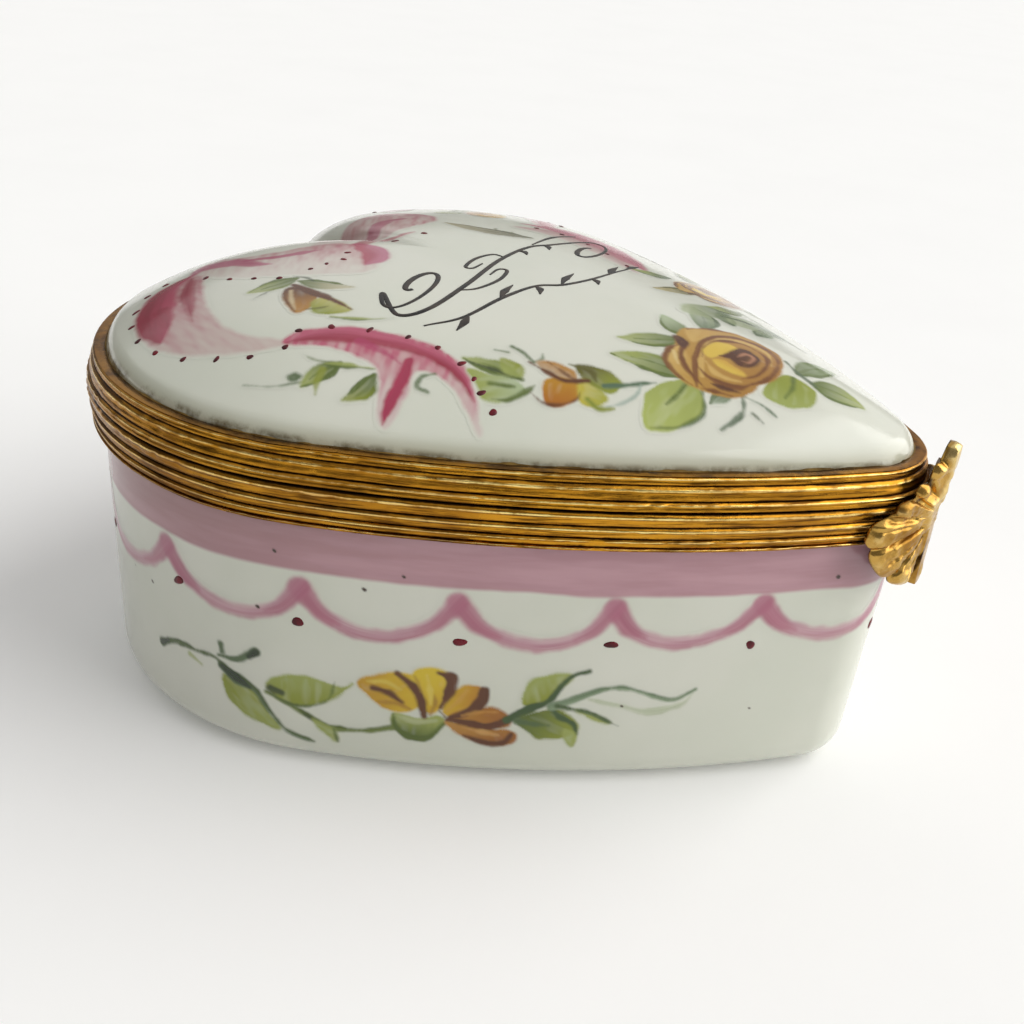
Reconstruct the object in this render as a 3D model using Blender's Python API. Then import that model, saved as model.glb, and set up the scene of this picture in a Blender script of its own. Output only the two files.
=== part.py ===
"""Heart-shaped porcelain trinket box with hinged brass mounts.

Metres, +Z up. The heart's tip and the clasp point to -Y, its cleft and the hinge to +Y.
The origin is the middle of the object's footprint, on the surface that it stands on.
A porcelain bowl and a domed porcelain lid are each bedded in a reeded brass band. The bands
meet at the parting plane, turn on a five-knuckle hinge in the cleft, and snap shut at the tip.
"""

import math

import bmesh
import bpy
import numpy as np

MM = 0.001

# Heart outline of the closed bands, where they are widest. The right half runs from the cleft
# to the tip through five tangent arcs: cleft fillet, shoulder, lobe, side and tip.
CLEFT_RADIUS = 2.2 * MM
SHOULDER_CENTRE = np.array([11.0, 20.0]) * MM
SHOULDER_RADIUS = 10.0 * MM
LOBE_RADIUS = 20.0 * MM
LOBE_START_ANGLE = math.radians(72)
SIDE_RADIUS = 86.0 * MM
TIP_CENTRE_Y = -23.3 * MM
TIP_RADIUS = 6.7 * MM
SMALLEST_TIP_RADIUS = 0.5 * MM
ARC_STEPS = (3, 8, 9, 7, 5)

# Heights.
BASE_BAND_BOTTOM = 19.8 * MM
PARTING_Z = 22.8 * MM
LID_BAND_TOP = 25.1 * MM
CROWN_Z = 30.9 * MM

# Fits between pieces.
SEAT_GAP = 0.3 * MM
PARTING_GAP = 0.3 * MM
CEMENT_GAP = 0.2 * MM

# Brass bands. An inset is measured inwards from the widest outline.
BAND_BOTTOM_INSET = 0.4 * MM
BAND_TOP_INSET = 0.7 * MM
RIBS_PER_BAND = 3
RIB_STEPS = 4
RIB_DEPTH = 0.3 * MM
FLANGE_THICKNESS = 0.6 * MM
FLANGE_INNER_INSET = 3.7 * MM
CEMENT_THICKNESS = 0.5 * MM

# Porcelain.
BOWL_RIM_INSET = 1.2 * MM
BOWL_FOOT_INSET = 1.8 * MM
BOWL_CORNER_RADIUS = 2.5 * MM
BOWL_WALL = 2.2 * MM
BOWL_FLOOR = 2.4 * MM
BOWL_INNER_CORNER = 2.0 * MM
CORNER_STEPS = 4
LID_EDGE_INSET = 1.6 * MM
LID_EDGE_HEIGHT = 0.9 * MM
LID_EDGE_SHARE = 0.03
LID_EDGE_SINK = 0.2 * MM
DOME_LEVELS = (0.93, 0.84, 0.72, 0.58, 0.4, 0.2)
LID_WALL = 2.1 * MM
DOME_POWER = 3.2
DOME_CENTRE_Y = 8.0 * MM

# Hinge in the cleft.
HINGE_Y = 30.45 * MM
BARREL_RADIUS = 1.2 * MM
PIN_HOLE_RADIUS = 0.5 * MM
PIN_RADIUS = 0.45 * MM
PIN_HEAD_RADIUS = 0.75 * MM
PIN_HEAD_LENGTH = 0.35 * MM
KNUCKLE_LENGTH = 2.0 * MM
KNUCKLE_GAP = 0.15 * MM
KNUCKLES = ("base_knuckle_left", "lid_knuckle_left", "base_knuckle_centre",
            "lid_knuckle_right", "base_knuckle_right")
BARREL_SIDES = 24
LEAF_HALF_WIDTH = 4.8 * MM
LEAF_THICKNESS = 0.9 * MM
LEAF_TO_AXIS = 1.9 * MM
LEAF_ARC_STEPS = 4

# Clasp: a palmette in polar form about its waist. Angles run from straight down to straight up.
CLASP_WAIST_Z = 21.5 * MM
CLASP_RADII = ((0, 5.4), (60, 5.8), (92, 6.3), (104, 5.6), (112, 2.6), (124, 3.5), (138, 3.2),
               (148, 2.2), (160, 4.3), (170, 5.0), (180, 5.2))
FLUTE_ANGLE = 30
FLUTES_END = 105
FLUTE_HEIGHT = 0.5 * MM
SCALLOP_SHARE = 0.12
CLASP_STAND_OFF = 0.35 * MM
CLASP_EDGE = 0.45 * MM
CLASP_THICKNESS = 0.7 * MM
STEM_LENGTH = 5.2 * MM
STEM_LEAN = 0.7 * MM
STEM_BACK_LEAN = 0.45 * MM
CLASP_BOSS = 0.3 * MM
CHANNEL_DEPTH = 0.55 * MM
CHANNEL_HALF_WIDTH = 0.75 * MM
CHANNEL_SLOPE = 0.35 * MM
CLASP_SPOKES = 48
CLASP_RINGS = (0.2, 0.42, 0.62, 0.82, 1.0)

# Catch bead on the base's band, inside the clasp's channel.
BEAD_Z = 20.7 * MM
BEAD_RADIUS = 0.55 * MM
BEAD_HEIGHT = 0.5 * MM
BEAD_STAND_OFF = 0.1 * MM
BEAD_SIDES = 16

PORCELAIN = ("porcelain", (0.86, 0.87, 0.82), 0.12, 0.0)
BRASS = ("brass", (0.72, 0.49, 0.17), 0.32, 1.0)
CEMENT = ("cement", (0.55, 0.50, 0.40), 0.9, 0.0)
STEEL = ("pin_wire", (0.66, 0.50, 0.25), 0.3, 1.0)


def clear_scene():
    for old in list(bpy.data.objects):
        bpy.data.objects.remove(old, do_unlink=True)


def material(look):
    """The Principled material for a look: name, colour, roughness and metallic."""
    name, colour, roughness, metallic = look
    found = bpy.data.materials.get(name)
    if found:
        return found
    made = bpy.data.materials.new(name)
    made.use_nodes = True
    shader = made.node_tree.nodes["Principled BSDF"]
    shader.inputs["Base Color"].default_value = (*colour, 1.0)
    shader.inputs["Roughness"].default_value = roughness
    shader.inputs["Metallic"].default_value = metallic
    return made


def new_object(name, bm, look, smooth_angle=35):
    """A named object from bm, with its normals facing out and its own copy of the look."""
    bmesh.ops.recalc_face_normals(bm, faces=bm.faces[:])
    mesh = bpy.data.meshes.new(name)
    bm.to_mesh(mesh)
    bm.free()
    mesh.shade_smooth()
    mesh.set_sharp_from_angle(angle=math.radians(smooth_angle))
    own = material(look).copy()
    own.name = f"{name}_{look[0]}"
    mesh.materials.append(own)
    made = bpy.data.objects.new(name, mesh)
    bpy.context.scene.collection.objects.link(made)
    return made


def arc(centre, radius, start, end, steps):
    angles = np.linspace(start, end, steps + 1)[:, None]
    return np.asarray(centre) + radius * np.hstack([np.cos(angles), np.sin(angles)])


def lobe_centre():
    """The lobe and shoulder arcs meet tangentially at LOBE_START_ANGLE."""
    direction = np.array([math.cos(LOBE_START_ANGLE), math.sin(LOBE_START_ANGLE)])
    return SHOULDER_CENTRE - (LOBE_RADIUS - SHOULDER_RADIUS) * direction


def side_centre():
    """The centre of the long side arc, which is tangent to the lobe and the tip from outside."""
    lobe, tip = lobe_centre(), np.array([0.0, TIP_CENTRE_Y])
    from_lobe, from_tip = SIDE_RADIUS - LOBE_RADIUS, SIDE_RADIUS - TIP_RADIUS
    apart = float(np.linalg.norm(tip - lobe))
    along = (from_lobe**2 - from_tip**2 + apart**2) / (2 * apart)
    across = math.sqrt(from_lobe**2 - along**2)
    unit = (tip - lobe) / apart
    return lobe + unit * along + np.array([unit[1], -unit[0]]) * across


def cleft_centre_y():
    reach = SHOULDER_RADIUS + CLEFT_RADIUS
    return float(SHOULDER_CENTRE[1]) + math.sqrt(reach**2 - float(SHOULDER_CENTRE[0]) ** 2)


def bearing(origin, target):
    return math.atan2(target[1] - origin[1], target[0] - origin[0])


def heart(inset):
    """The heart outline moved inwards by inset, as points from the cleft round by +X."""
    lobe, side = lobe_centre(), side_centre()
    cleft = np.array([0.0, cleft_centre_y()])
    tip_radius = max(TIP_RADIUS - inset, SMALLEST_TIP_RADIUS)
    reach = SIDE_RADIUS - inset - tip_radius
    tip = np.array([0.0, side[1] - math.sqrt(reach**2 - side[0] ** 2)])
    turn = bearing(side, tip)
    arcs = (
        (cleft, CLEFT_RADIUS + inset, -math.pi / 2, bearing(cleft, SHOULDER_CENTRE)),
        (SHOULDER_CENTRE, SHOULDER_RADIUS - inset, bearing(SHOULDER_CENTRE, cleft), LOBE_START_ANGLE),
        (lobe, LOBE_RADIUS - inset, LOBE_START_ANGLE, bearing(side, lobe)),
        (side, SIDE_RADIUS - inset, bearing(side, lobe), turn),
        (tip, tip_radius, turn, -math.pi / 2),
    )
    half = [arc(*shape, steps)[:-1] for shape, steps in zip(arcs, ARC_STEPS)]
    right = np.vstack([*half, tip + [[0.0, -tip_radius]]])
    left = right[-2:0:-1] * [-1, 1]
    return np.vstack([right, left])


def ring_at(outline, z):
    return np.column_stack([outline, np.full(len(outline), z)])


def add_ring(bm, points):
    return [bm.verts.new(point) for point in points]


def bridge(bm, first, second):
    """A band of quads between two rings of the same length."""
    for i in range(len(first)):
        j = (i + 1) % len(first)
        bm.faces.new((first[i], first[j], second[j], second[i]))


def fan(bm, ring, point):
    """Triangles from a ring to one point."""
    hub = bm.verts.new(point)
    for i in range(len(ring)):
        bm.faces.new((ring[i], ring[(i + 1) % len(ring)], hub))


def quarter_round(radius):
    """A corner's (across, up) steps, from the end that lies flat to the end that stands up."""
    angles = np.linspace(0, math.pi / 2, CORNER_STEPS + 1)
    return [(radius * (1 - math.sin(a)), radius * (1 - math.cos(a))) for a in angles]


def porcelain_base():
    """The bowl: flat foot, rounded corner, slightly flared wall, flat rim and rounded inside."""
    rim_z = PARTING_Z - PARTING_GAP / 2 - FLANGE_THICKNESS - 2 * CEMENT_GAP - CEMENT_THICKNESS
    outside = [
        (BOWL_FOOT_INSET + across, up)
        for across, up in quarter_round(BOWL_CORNER_RADIUS)
    ]
    inside = [
        (BOWL_FOOT_INSET + BOWL_WALL + across, BOWL_FLOOR + up)
        for across, up in quarter_round(BOWL_INNER_CORNER)
    ]
    profile = [
        *outside,
        (BOWL_RIM_INSET, BASE_BAND_BOTTOM),
        (BOWL_RIM_INSET, rim_z),
        (BOWL_RIM_INSET + BOWL_WALL, rim_z),
        *reversed(inside),
    ]
    bm = bmesh.new()
    rings = [add_ring(bm, ring_at(heart(inset), z)) for inset, z in profile]
    for lower, upper in zip(rings, rings[1:]):
        bridge(bm, lower, upper)
    bm.faces.new(rings[0])
    bm.faces.new(rings[-1])
    return new_object("porcelain_base", bm, PORCELAIN)


def dome_ring(edge, share, z):
    """The edge outline shrunk to a share of its size about the dome's centre."""
    centre = np.array([0.0, DOME_CENTRE_Y])
    return ring_at(centre + (edge - centre) * share, z)


def porcelain_lid():
    """The domed shell: every level is a smaller copy of its edge outline."""
    rim_z = PARTING_Z + PARTING_GAP / 2 + FLANGE_THICKNESS + 2 * CEMENT_GAP + CEMENT_THICKNESS
    edge_z = LID_BAND_TOP - LID_EDGE_SINK
    edge = heart(LID_EDGE_INSET)
    inner_edge = heart(LID_EDGE_INSET + LID_WALL)
    rise = CROWN_Z - edge_z - LID_EDGE_HEIGHT
    inner_rise = CROWN_Z - LID_WALL - rim_z

    def outer_z(share):
        near = min((1 - share) / LID_EDGE_SHARE, 1)
        return edge_z + LID_EDGE_HEIGHT * math.sqrt(1 - (1 - near) ** 2) + rise * (1 - share**DOME_POWER)

    rounding = [1 - LID_EDGE_SHARE * across for across in (0.0, 0.15, 0.5, 1.0)]
    outer = [dome_ring(edge, share, outer_z(share)) for share in (*rounding, *DOME_LEVELS)]
    inner = [
        dome_ring(inner_edge, share, rim_z + inner_rise * (1 - share**DOME_POWER))
        for share in (1.0, *DOME_LEVELS)
    ]
    profile = [*reversed(outer), ring_at(edge, rim_z), *inner]
    bm = bmesh.new()
    rings = [add_ring(bm, points) for points in profile]
    for first, second in zip(rings, rings[1:]):
        bridge(bm, first, second)
    fan(bm, rings[0], (0, DOME_CENTRE_Y, CROWN_Z))
    fan(bm, rings[-1], (0, DOME_CENTRE_Y, CROWN_Z - LID_WALL))
    return new_object("porcelain_lid", bm, PORCELAIN)


def closed_band(name, profile, look):
    """A ring-shaped body whose cross-section is profile, a closed list of (inset, z)."""
    bm = bmesh.new()
    rings = [add_ring(bm, ring_at(heart(inset), z)) for inset, z in profile]
    for first, second in zip(rings, [*rings[1:], rings[0]]):
        bridge(bm, first, second)
    return new_object(name, bm, look)


def ribbed_face(z_from, z_to, inset_from, inset_to):
    """Half-round ribs one above the other, between two heights and two insets."""
    points = []
    for step in range(RIBS_PER_BAND * RIB_STEPS + 1):
        share = step / (RIBS_PER_BAND * RIB_STEPS)
        inside_rib = (share * RIBS_PER_BAND) % 1.0
        groove = RIB_DEPTH * (1 - math.sqrt(math.sin(math.pi * inside_rib)))
        inset = inset_from + (inset_to - inset_from) * share + groove
        points.append((inset, z_from + (z_to - z_from) * share))
    return points


def base_bezel():
    """The base's band: ribs outside, and a flat flange that covers the bowl's rim."""
    top = PARTING_Z - PARTING_GAP / 2
    wall = BOWL_RIM_INSET - SEAT_GAP
    profile = [
        *ribbed_face(BASE_BAND_BOTTOM, top, BAND_BOTTOM_INSET, 0.0),
        (FLANGE_INNER_INSET, top),
        (FLANGE_INNER_INSET, top - FLANGE_THICKNESS),
        (wall, top - FLANGE_THICKNESS),
        (wall, BASE_BAND_BOTTOM),
    ]
    return closed_band("base_bezel", profile, BRASS)


def lid_bezel():
    """The lid's band: the same, turned over, leaning in to the lid's edge."""
    bottom = PARTING_Z + PARTING_GAP / 2
    wall = LID_EDGE_INSET - SEAT_GAP
    profile = [
        *ribbed_face(bottom, LID_BAND_TOP, 0.0, BAND_TOP_INSET),
        (wall, LID_BAND_TOP),
        (wall, bottom + FLANGE_THICKNESS),
        (FLANGE_INNER_INSET, bottom + FLANGE_THICKNESS),
        (FLANGE_INNER_INSET, bottom),
    ]
    return closed_band("lid_bezel", profile, BRASS)


def cement_bed(name, z, outer_inset, inner_inset):
    """The flat bed of cement between a flange and the porcelain's rim."""
    profile = [
        (outer_inset, z),
        (outer_inset, z + CEMENT_THICKNESS),
        (inner_inset, z + CEMENT_THICKNESS),
        (inner_inset, z),
    ]
    return closed_band(name, profile, CEMENT)


def hinge_leaf(name, z):
    """A flat plate in the cleft, from the band back to the hinge's barrel."""
    shoulder = SHOULDER_RADIUS + SEAT_GAP
    cleft = np.array([0.0, cleft_centre_y()])
    edge_angle = math.acos((LEAF_HALF_WIDTH - SHOULDER_CENTRE[0]) / shoulder)
    front = np.vstack([
        arc(cleft, CLEFT_RADIUS - SEAT_GAP, -math.pi / 2, bearing(cleft, SHOULDER_CENTRE),
            LEAF_ARC_STEPS)[:-1],
        arc(SHOULDER_CENTRE, shoulder, bearing(SHOULDER_CENTRE, cleft), edge_angle, LEAF_ARC_STEPS),
    ])
    right = np.vstack([front, [[LEAF_HALF_WIDTH, HINGE_Y - LEAF_TO_AXIS]]])
    outline = np.vstack([right, right[:0:-1] * [-1, 1]])
    bm = bmesh.new()
    lower = add_ring(bm, ring_at(outline, z))
    upper = add_ring(bm, ring_at(outline, z + LEAF_THICKNESS))
    bridge(bm, lower, upper)
    bm.faces.new(lower)
    bm.faces.new(upper)
    return new_object(name, bm, BRASS)


def knuckle(name, x, side):
    """A hinge tube with a lug towards its leaf, below the axis (side -1) or above it (side 1)."""
    low = PARTING_GAP / 2
    high = low + LEAF_THICKNESS
    lug_end = -(LEAF_TO_AXIS - SEAT_GAP)
    outer, inner = [], []
    lug = [(-math.sqrt(BARREL_RADIUS**2 - low**2), low), (lug_end, low), (lug_end, high),
           (-math.sqrt(BARREL_RADIUS**2 - high**2), high)]
    spans = [math.atan2(z, y) for y, z in lug]
    for step in range(BARREL_SIDES):
        angle = 2 * math.pi * step / BARREL_SIDES - math.pi
        if min(spans) - 0.05 < angle < max(spans) + 0.05:
            continue
        outer.append((BARREL_RADIUS * math.cos(angle), BARREL_RADIUS * math.sin(angle)))
    outer = sorted([*outer, *lug], key=lambda p: math.atan2(p[1], p[0]))
    for y, z in outer:
        length = math.hypot(y, z)
        inner.append((PIN_HOLE_RADIUS * y / length, PIN_HOLE_RADIUS * z / length))
    bm = bmesh.new()
    rings = []
    for end in (x - KNUCKLE_LENGTH / 2, x + KNUCKLE_LENGTH / 2):
        for loop in (outer, inner):
            points = [(end, HINGE_Y + y, PARTING_Z + side * z) for y, z in loop]
            rings.append(add_ring(bm, points))
    outer_left, inner_left, outer_right, inner_right = rings
    bridge(bm, outer_left, outer_right)
    bridge(bm, inner_left, inner_right)
    bridge(bm, outer_left, inner_left)
    bridge(bm, outer_right, inner_right)
    return new_object(name, bm, BRASS)


def barrel_half_length():
    count = len(KNUCKLES)
    return (count * KNUCKLE_LENGTH + (count - 1) * KNUCKLE_GAP) / 2


def hinge_pin():
    """The wire through the knuckles, with a peened head at each end."""
    shank = barrel_half_length() + KNUCKLE_GAP
    end = shank + PIN_HEAD_LENGTH
    profile = [
        (-end, PIN_RADIUS), (-end + 0.4 * PIN_HEAD_LENGTH, PIN_HEAD_RADIUS), (-shank, PIN_HEAD_RADIUS),
        (-shank, PIN_RADIUS), (shank, PIN_RADIUS), (shank, PIN_HEAD_RADIUS),
        (end - 0.4 * PIN_HEAD_LENGTH, PIN_HEAD_RADIUS), (end, PIN_RADIUS),
    ]
    turns = np.linspace(0, 2 * math.pi, BARREL_SIDES, endpoint=False)
    bm = bmesh.new()
    rings = [
        add_ring(bm, [(x, HINGE_Y + r * math.cos(a), PARTING_Z + r * math.sin(a)) for a in turns])
        for x, r in profile
    ]
    for first, second in zip(rings, rings[1:]):
        bridge(bm, first, second)
    bm.faces.new(rings[0])
    bm.faces.new(rings[-1])
    return new_object("hinge_pin", bm, STEEL)


def round_the_tip(across, z, out):
    """The point at a width across, a height, and a distance out from the tip's widest arc."""
    angle = across / (TIP_RADIUS + CLASP_THICKNESS)
    radius = TIP_RADIUS + out
    return (radius * math.sin(angle), TIP_CENTRE_Y - radius * math.cos(angle), z)


def clasp_radius(degrees):
    """The palmette's reach from its waist, with a scallop at the end of each flute."""
    angles, radii = zip(*CLASP_RADII)
    reach = float(np.interp(degrees, angles, radii)) * MM
    if degrees < FLUTES_END:
        reach *= 1 - SCALLOP_SHARE * (1 - flute(degrees))
    return reach


def flute(degrees):
    """1 along the middle of each flute, 0 in the grooves between them."""
    return math.sqrt(abs(math.cos(math.pi * degrees / FLUTE_ANGLE)))


def clasp_surfaces(degrees, share):
    """Width, height, front and back of the palmette at an angle and a share of its reach."""
    turn = math.radians(degrees)
    reach = clasp_radius(abs(degrees)) * share
    across, up = reach * math.sin(turn), -reach * math.cos(turn)
    z = CLASP_WAIST_Z + up
    lean = STEM_LEAN * max(up / STEM_LENGTH, 0.0) ** 2
    heights = (PARTING_Z, LID_BAND_TOP, CROWN_Z)
    stand_offs = (CLASP_STAND_OFF, CLASP_STAND_OFF - STEM_BACK_LEAN, CLASP_STAND_OFF)
    back = float(np.interp(z, heights, stand_offs))
    swell = math.sqrt(max(1 - share**4, 0.0))
    relief = FLUTE_HEIGHT * (flute(degrees) if abs(degrees) < FLUTES_END else 0.6) * min(share * 3, 1)
    front = CLASP_STAND_OFF + CLASP_EDGE + lean + (CLASP_THICKNESS - CLASP_EDGE + relief) * swell
    if up < 0:
        opened = (CHANNEL_HALF_WIDTH + CHANNEL_SLOPE - abs(across)) / CHANNEL_SLOPE
        channel = CHANNEL_DEPTH * min(max(opened, 0.0), 1.0)
        back += channel
        front = max(front, back + CLASP_EDGE)
    return across, z, front, back + lean


def clasp():
    """The cast palmette, hollowed behind its middle flute so that it passes the catch bead."""
    bm = bmesh.new()
    fronts, backs = [], []
    for share in CLASP_RINGS:
        front, back = [], []
        for spoke in range(CLASP_SPOKES):
            across, z, out, behind = clasp_surfaces(360 * spoke / CLASP_SPOKES - 180, share)
            front.append(round_the_tip(across, z, out))
            back.append(round_the_tip(across, z, behind))
        fronts.append(add_ring(bm, front))
        backs.append(add_ring(bm, back))
    for rings in (fronts, backs):
        for inner, outer in zip(rings, rings[1:]):
            bridge(bm, inner, outer)
    bridge(bm, fronts[-1], backs[-1])
    boss = CLASP_STAND_OFF + CLASP_THICKNESS + CLASP_BOSS
    fan(bm, fronts[0], round_the_tip(0, CLASP_WAIST_Z, boss))
    fan(bm, backs[0], round_the_tip(0, CLASP_WAIST_Z, CLASP_STAND_OFF + CHANNEL_DEPTH / 2))
    return new_object("clasp", bm, BRASS, smooth_angle=50)


def catch_bead():
    """A low round bead that stands on the base's band, under the clasp."""
    bm = bmesh.new()
    rings = []
    for across, out in ((1.0, 0.0), (0.94, 0.35), (0.75, 0.66), (0.4, 0.92)):
        ring = []
        for step in range(BEAD_SIDES):
            angle = 2 * math.pi * step / BEAD_SIDES
            width = BEAD_RADIUS * across * math.cos(angle)
            up = BEAD_RADIUS * across * math.sin(angle)
            ring.append(round_the_tip(width, BEAD_Z + up, BEAD_STAND_OFF + BEAD_HEIGHT * out))
        rings.append(add_ring(bm, ring))
    for first, second in zip(rings, rings[1:]):
        bridge(bm, first, second)
    fan(bm, rings[0], round_the_tip(0, BEAD_Z, BEAD_STAND_OFF))
    fan(bm, rings[-1], round_the_tip(0, BEAD_Z, BEAD_STAND_OFF + BEAD_HEIGHT))
    return new_object("catch_bead", bm, BRASS)


def main():
    clear_scene()
    flange_top = PARTING_Z + PARTING_GAP / 2 + FLANGE_THICKNESS
    flange_under = PARTING_Z - PARTING_GAP / 2 - FLANGE_THICKNESS
    moving = [
        porcelain_lid(),
        lid_bezel(),
        cement_bed("lid_cement", flange_top + CEMENT_GAP, LID_EDGE_INSET, FLANGE_INNER_INSET - SEAT_GAP),
        hinge_leaf("lid_hinge_plate", PARTING_Z + PARTING_GAP / 2),
        clasp(),
    ]
    porcelain_base()
    base_bezel()
    bed_z = flange_under - CEMENT_GAP - CEMENT_THICKNESS
    cement_bed("base_cement", bed_z, BOWL_RIM_INSET, FLANGE_INNER_INSET - SEAT_GAP)
    hinge_leaf("base_hinge_plate", PARTING_Z - PARTING_GAP / 2 - LEAF_THICKNESS)
    hinge_pin()
    catch_bead()
    for index, name in enumerate(KNUCKLES):
        x = (index - (len(KNUCKLES) - 1) / 2) * (KNUCKLE_LENGTH + KNUCKLE_GAP)
        on_lid = name.startswith("lid")
        made = knuckle(name, x, 1 if on_lid else -1)
        if on_lid:
            moving.append(made)

    hinge_axis = bpy.data.objects.new("hinge_axis", None)
    hinge_axis.location = (0, HINGE_Y, PARTING_Z)
    bpy.context.scene.collection.objects.link(hinge_axis)
    bpy.context.view_layer.update()
    for piece in moving:
        piece.parent = hinge_axis
        piece.matrix_parent_inverse = hinge_axis.matrix_world.inverted()


main()
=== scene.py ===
import math

import bmesh
import bpy
import numpy as np
from mathutils import Matrix, Vector


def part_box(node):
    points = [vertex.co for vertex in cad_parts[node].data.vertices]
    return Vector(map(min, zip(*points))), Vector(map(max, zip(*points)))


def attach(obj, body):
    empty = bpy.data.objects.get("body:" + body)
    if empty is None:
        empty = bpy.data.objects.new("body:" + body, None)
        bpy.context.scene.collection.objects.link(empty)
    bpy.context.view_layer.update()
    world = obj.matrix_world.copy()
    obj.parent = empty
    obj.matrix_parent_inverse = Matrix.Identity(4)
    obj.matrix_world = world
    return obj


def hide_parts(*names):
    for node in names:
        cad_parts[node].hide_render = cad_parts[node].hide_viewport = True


# The looks of a heart-shaped porcelain trinket box with reeded brass mounts.
# Sizes here are in millimetres and become metres when a mesh is made. Colours are sRGB, 0 to 255.
# +Z is up, the heart's tip and the clasp point to -Y, its cleft and the hinge to +Y.

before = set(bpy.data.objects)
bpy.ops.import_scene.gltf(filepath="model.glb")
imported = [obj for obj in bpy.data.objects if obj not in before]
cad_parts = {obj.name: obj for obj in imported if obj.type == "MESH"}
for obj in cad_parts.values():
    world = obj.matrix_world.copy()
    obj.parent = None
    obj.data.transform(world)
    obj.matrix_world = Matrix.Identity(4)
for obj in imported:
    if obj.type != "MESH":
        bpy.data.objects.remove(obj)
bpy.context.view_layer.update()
MM = 0.001


def low(node):
    """A CAD node's lowest height."""
    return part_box(node)[0][2] / MM


def high(node):
    """A CAD node's highest height."""
    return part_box(node)[1][2] / MM


BASE_BAND_BOTTOM = low("base_bezel")
LID_BAND_TOP = high("lid_bezel")
BOWL_RIM_Z = high("porcelain_base")
LID_RIM_Z = low("porcelain_lid")
CROWN_Z = high("porcelain_lid") - 0.08

# Heart outline at the bands' widest, as five tangent arcs from the cleft to the tip.
CLEFT_RADIUS = 2.2
SHOULDER_CENTRE = np.array([11.0, 20.0])
SHOULDER_RADIUS = 10.0
LOBE_RADIUS = 20.0
LOBE_START_ANGLE = math.radians(72)
SIDE_RADIUS = 86.0
TIP_CENTRE_Y = -23.3
TIP_RADIUS = 6.7

# Insets from that outline.
BOWL_RIM_INSET = 1.2
BOWL_FOOT_INSET = 1.8
BOWL_CORNER_RADIUS = 2.5
BOWL_WALL = 2.2
BOWL_FLOOR = 2.4
BOWL_INNER_CORNER = 2.0
LID_EDGE_INSET = 1.6
LID_WALL = 2.1
FLANGE_INNER_INSET = 3.7
FLANGE_THICKNESS = 0.6
SEAT_GAP = 0.3

# Lid dome: height against the share of the way from its centre to its edge.
DOME_CENTRE = np.array([0.0, 8.0])
DOME_POWER = 3.2
LID_EDGE_Z = LID_BAND_TOP - 0.2
LID_EDGE_HEIGHT = 0.9
LID_EDGE_SHARE = 0.03


# ---------------------------------------------------------------- outline

def bearing(origin, target):
    return math.atan2(target[1] - origin[1], target[0] - origin[0])


class Heart:
    """The outline as points and outward directions, so that any inset is points - inset * outward."""

    def __init__(self, spacing):
        shoulder, tip = SHOULDER_CENTRE, np.array([0.0, TIP_CENTRE_Y])
        start = np.array([math.cos(LOBE_START_ANGLE), math.sin(LOBE_START_ANGLE)])
        lobe = shoulder - (LOBE_RADIUS - SHOULDER_RADIUS) * start
        reach = SHOULDER_RADIUS + CLEFT_RADIUS
        cleft = np.array([0.0, shoulder[1] + math.sqrt(reach**2 - shoulder[0] ** 2)])
        from_lobe, from_tip = SIDE_RADIUS - LOBE_RADIUS, SIDE_RADIUS - TIP_RADIUS
        apart = float(np.linalg.norm(tip - lobe))
        along = (from_lobe**2 - from_tip**2 + apart**2) / (2 * apart)
        across = math.sqrt(from_lobe**2 - along**2)
        unit = (tip - lobe) / apart
        side = lobe + unit * along + np.array([unit[1], -unit[0]]) * across
        arcs = (
            (cleft, -CLEFT_RADIUS, -math.pi / 2, bearing(cleft, shoulder)),
            (shoulder, SHOULDER_RADIUS, bearing(shoulder, cleft), LOBE_START_ANGLE),
            (lobe, LOBE_RADIUS, LOBE_START_ANGLE, bearing(side, lobe)),
            (side, SIDE_RADIUS, bearing(side, lobe), bearing(side, tip)),
            (tip, TIP_RADIUS, bearing(side, tip), -math.pi / 2),
        )
        points, outward = [], []
        for centre, radius, first, last in arcs:
            steps = max(2, math.ceil(abs(radius * (last - first)) / spacing))
            angles = np.linspace(first, last, steps + 1)[:-1]
            ways = np.column_stack([np.cos(angles), np.sin(angles)])
            points.append(centre + abs(radius) * ways)
            outward.append(ways * math.copysign(1.0, radius))
        right = np.vstack([*points, tip + [[0.0, -TIP_RADIUS]]])
        right_out = np.vstack([*outward, [[0.0, -1.0]]])
        mirror = np.array([-1.0, 1.0])
        self.points = np.vstack([right, right[-2:0:-1] * mirror])
        self.outward = np.vstack([right_out, right_out[-2:0:-1] * mirror])
        self.tip = len(right) - 1

    def inset(self, distance):
        """The outline moved inwards by a distance, or by one distance a point."""
        return self.points - np.asarray(distance, float).reshape(-1, 1) * self.outward

    def from_tip(self):
        """Each point's distance along the bowl's wall from the tip: negative on the +X side."""
        wall = self.inset(BOWL_RIM_INSET + 0.3)
        steps = np.linalg.norm(np.diff(np.vstack([wall, wall[:1]]), axis=0), axis=1)
        travelled = np.concatenate([[0.0], np.cumsum(steps)[:-1]])
        return travelled - travelled[self.tip]


SHELL = Heart(spacing=0.45)
BAND = Heart(spacing=0.22)
HALF_GIRTH = SHELL.from_tip().max()
BAND_DISTANCE = np.linspace(0, 1, len(BAND.points), endpoint=False) * 2 * HALF_GIRTH


def ring(outline, z):
    return np.column_stack([outline, np.broadcast_to(z, len(outline))])


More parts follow.
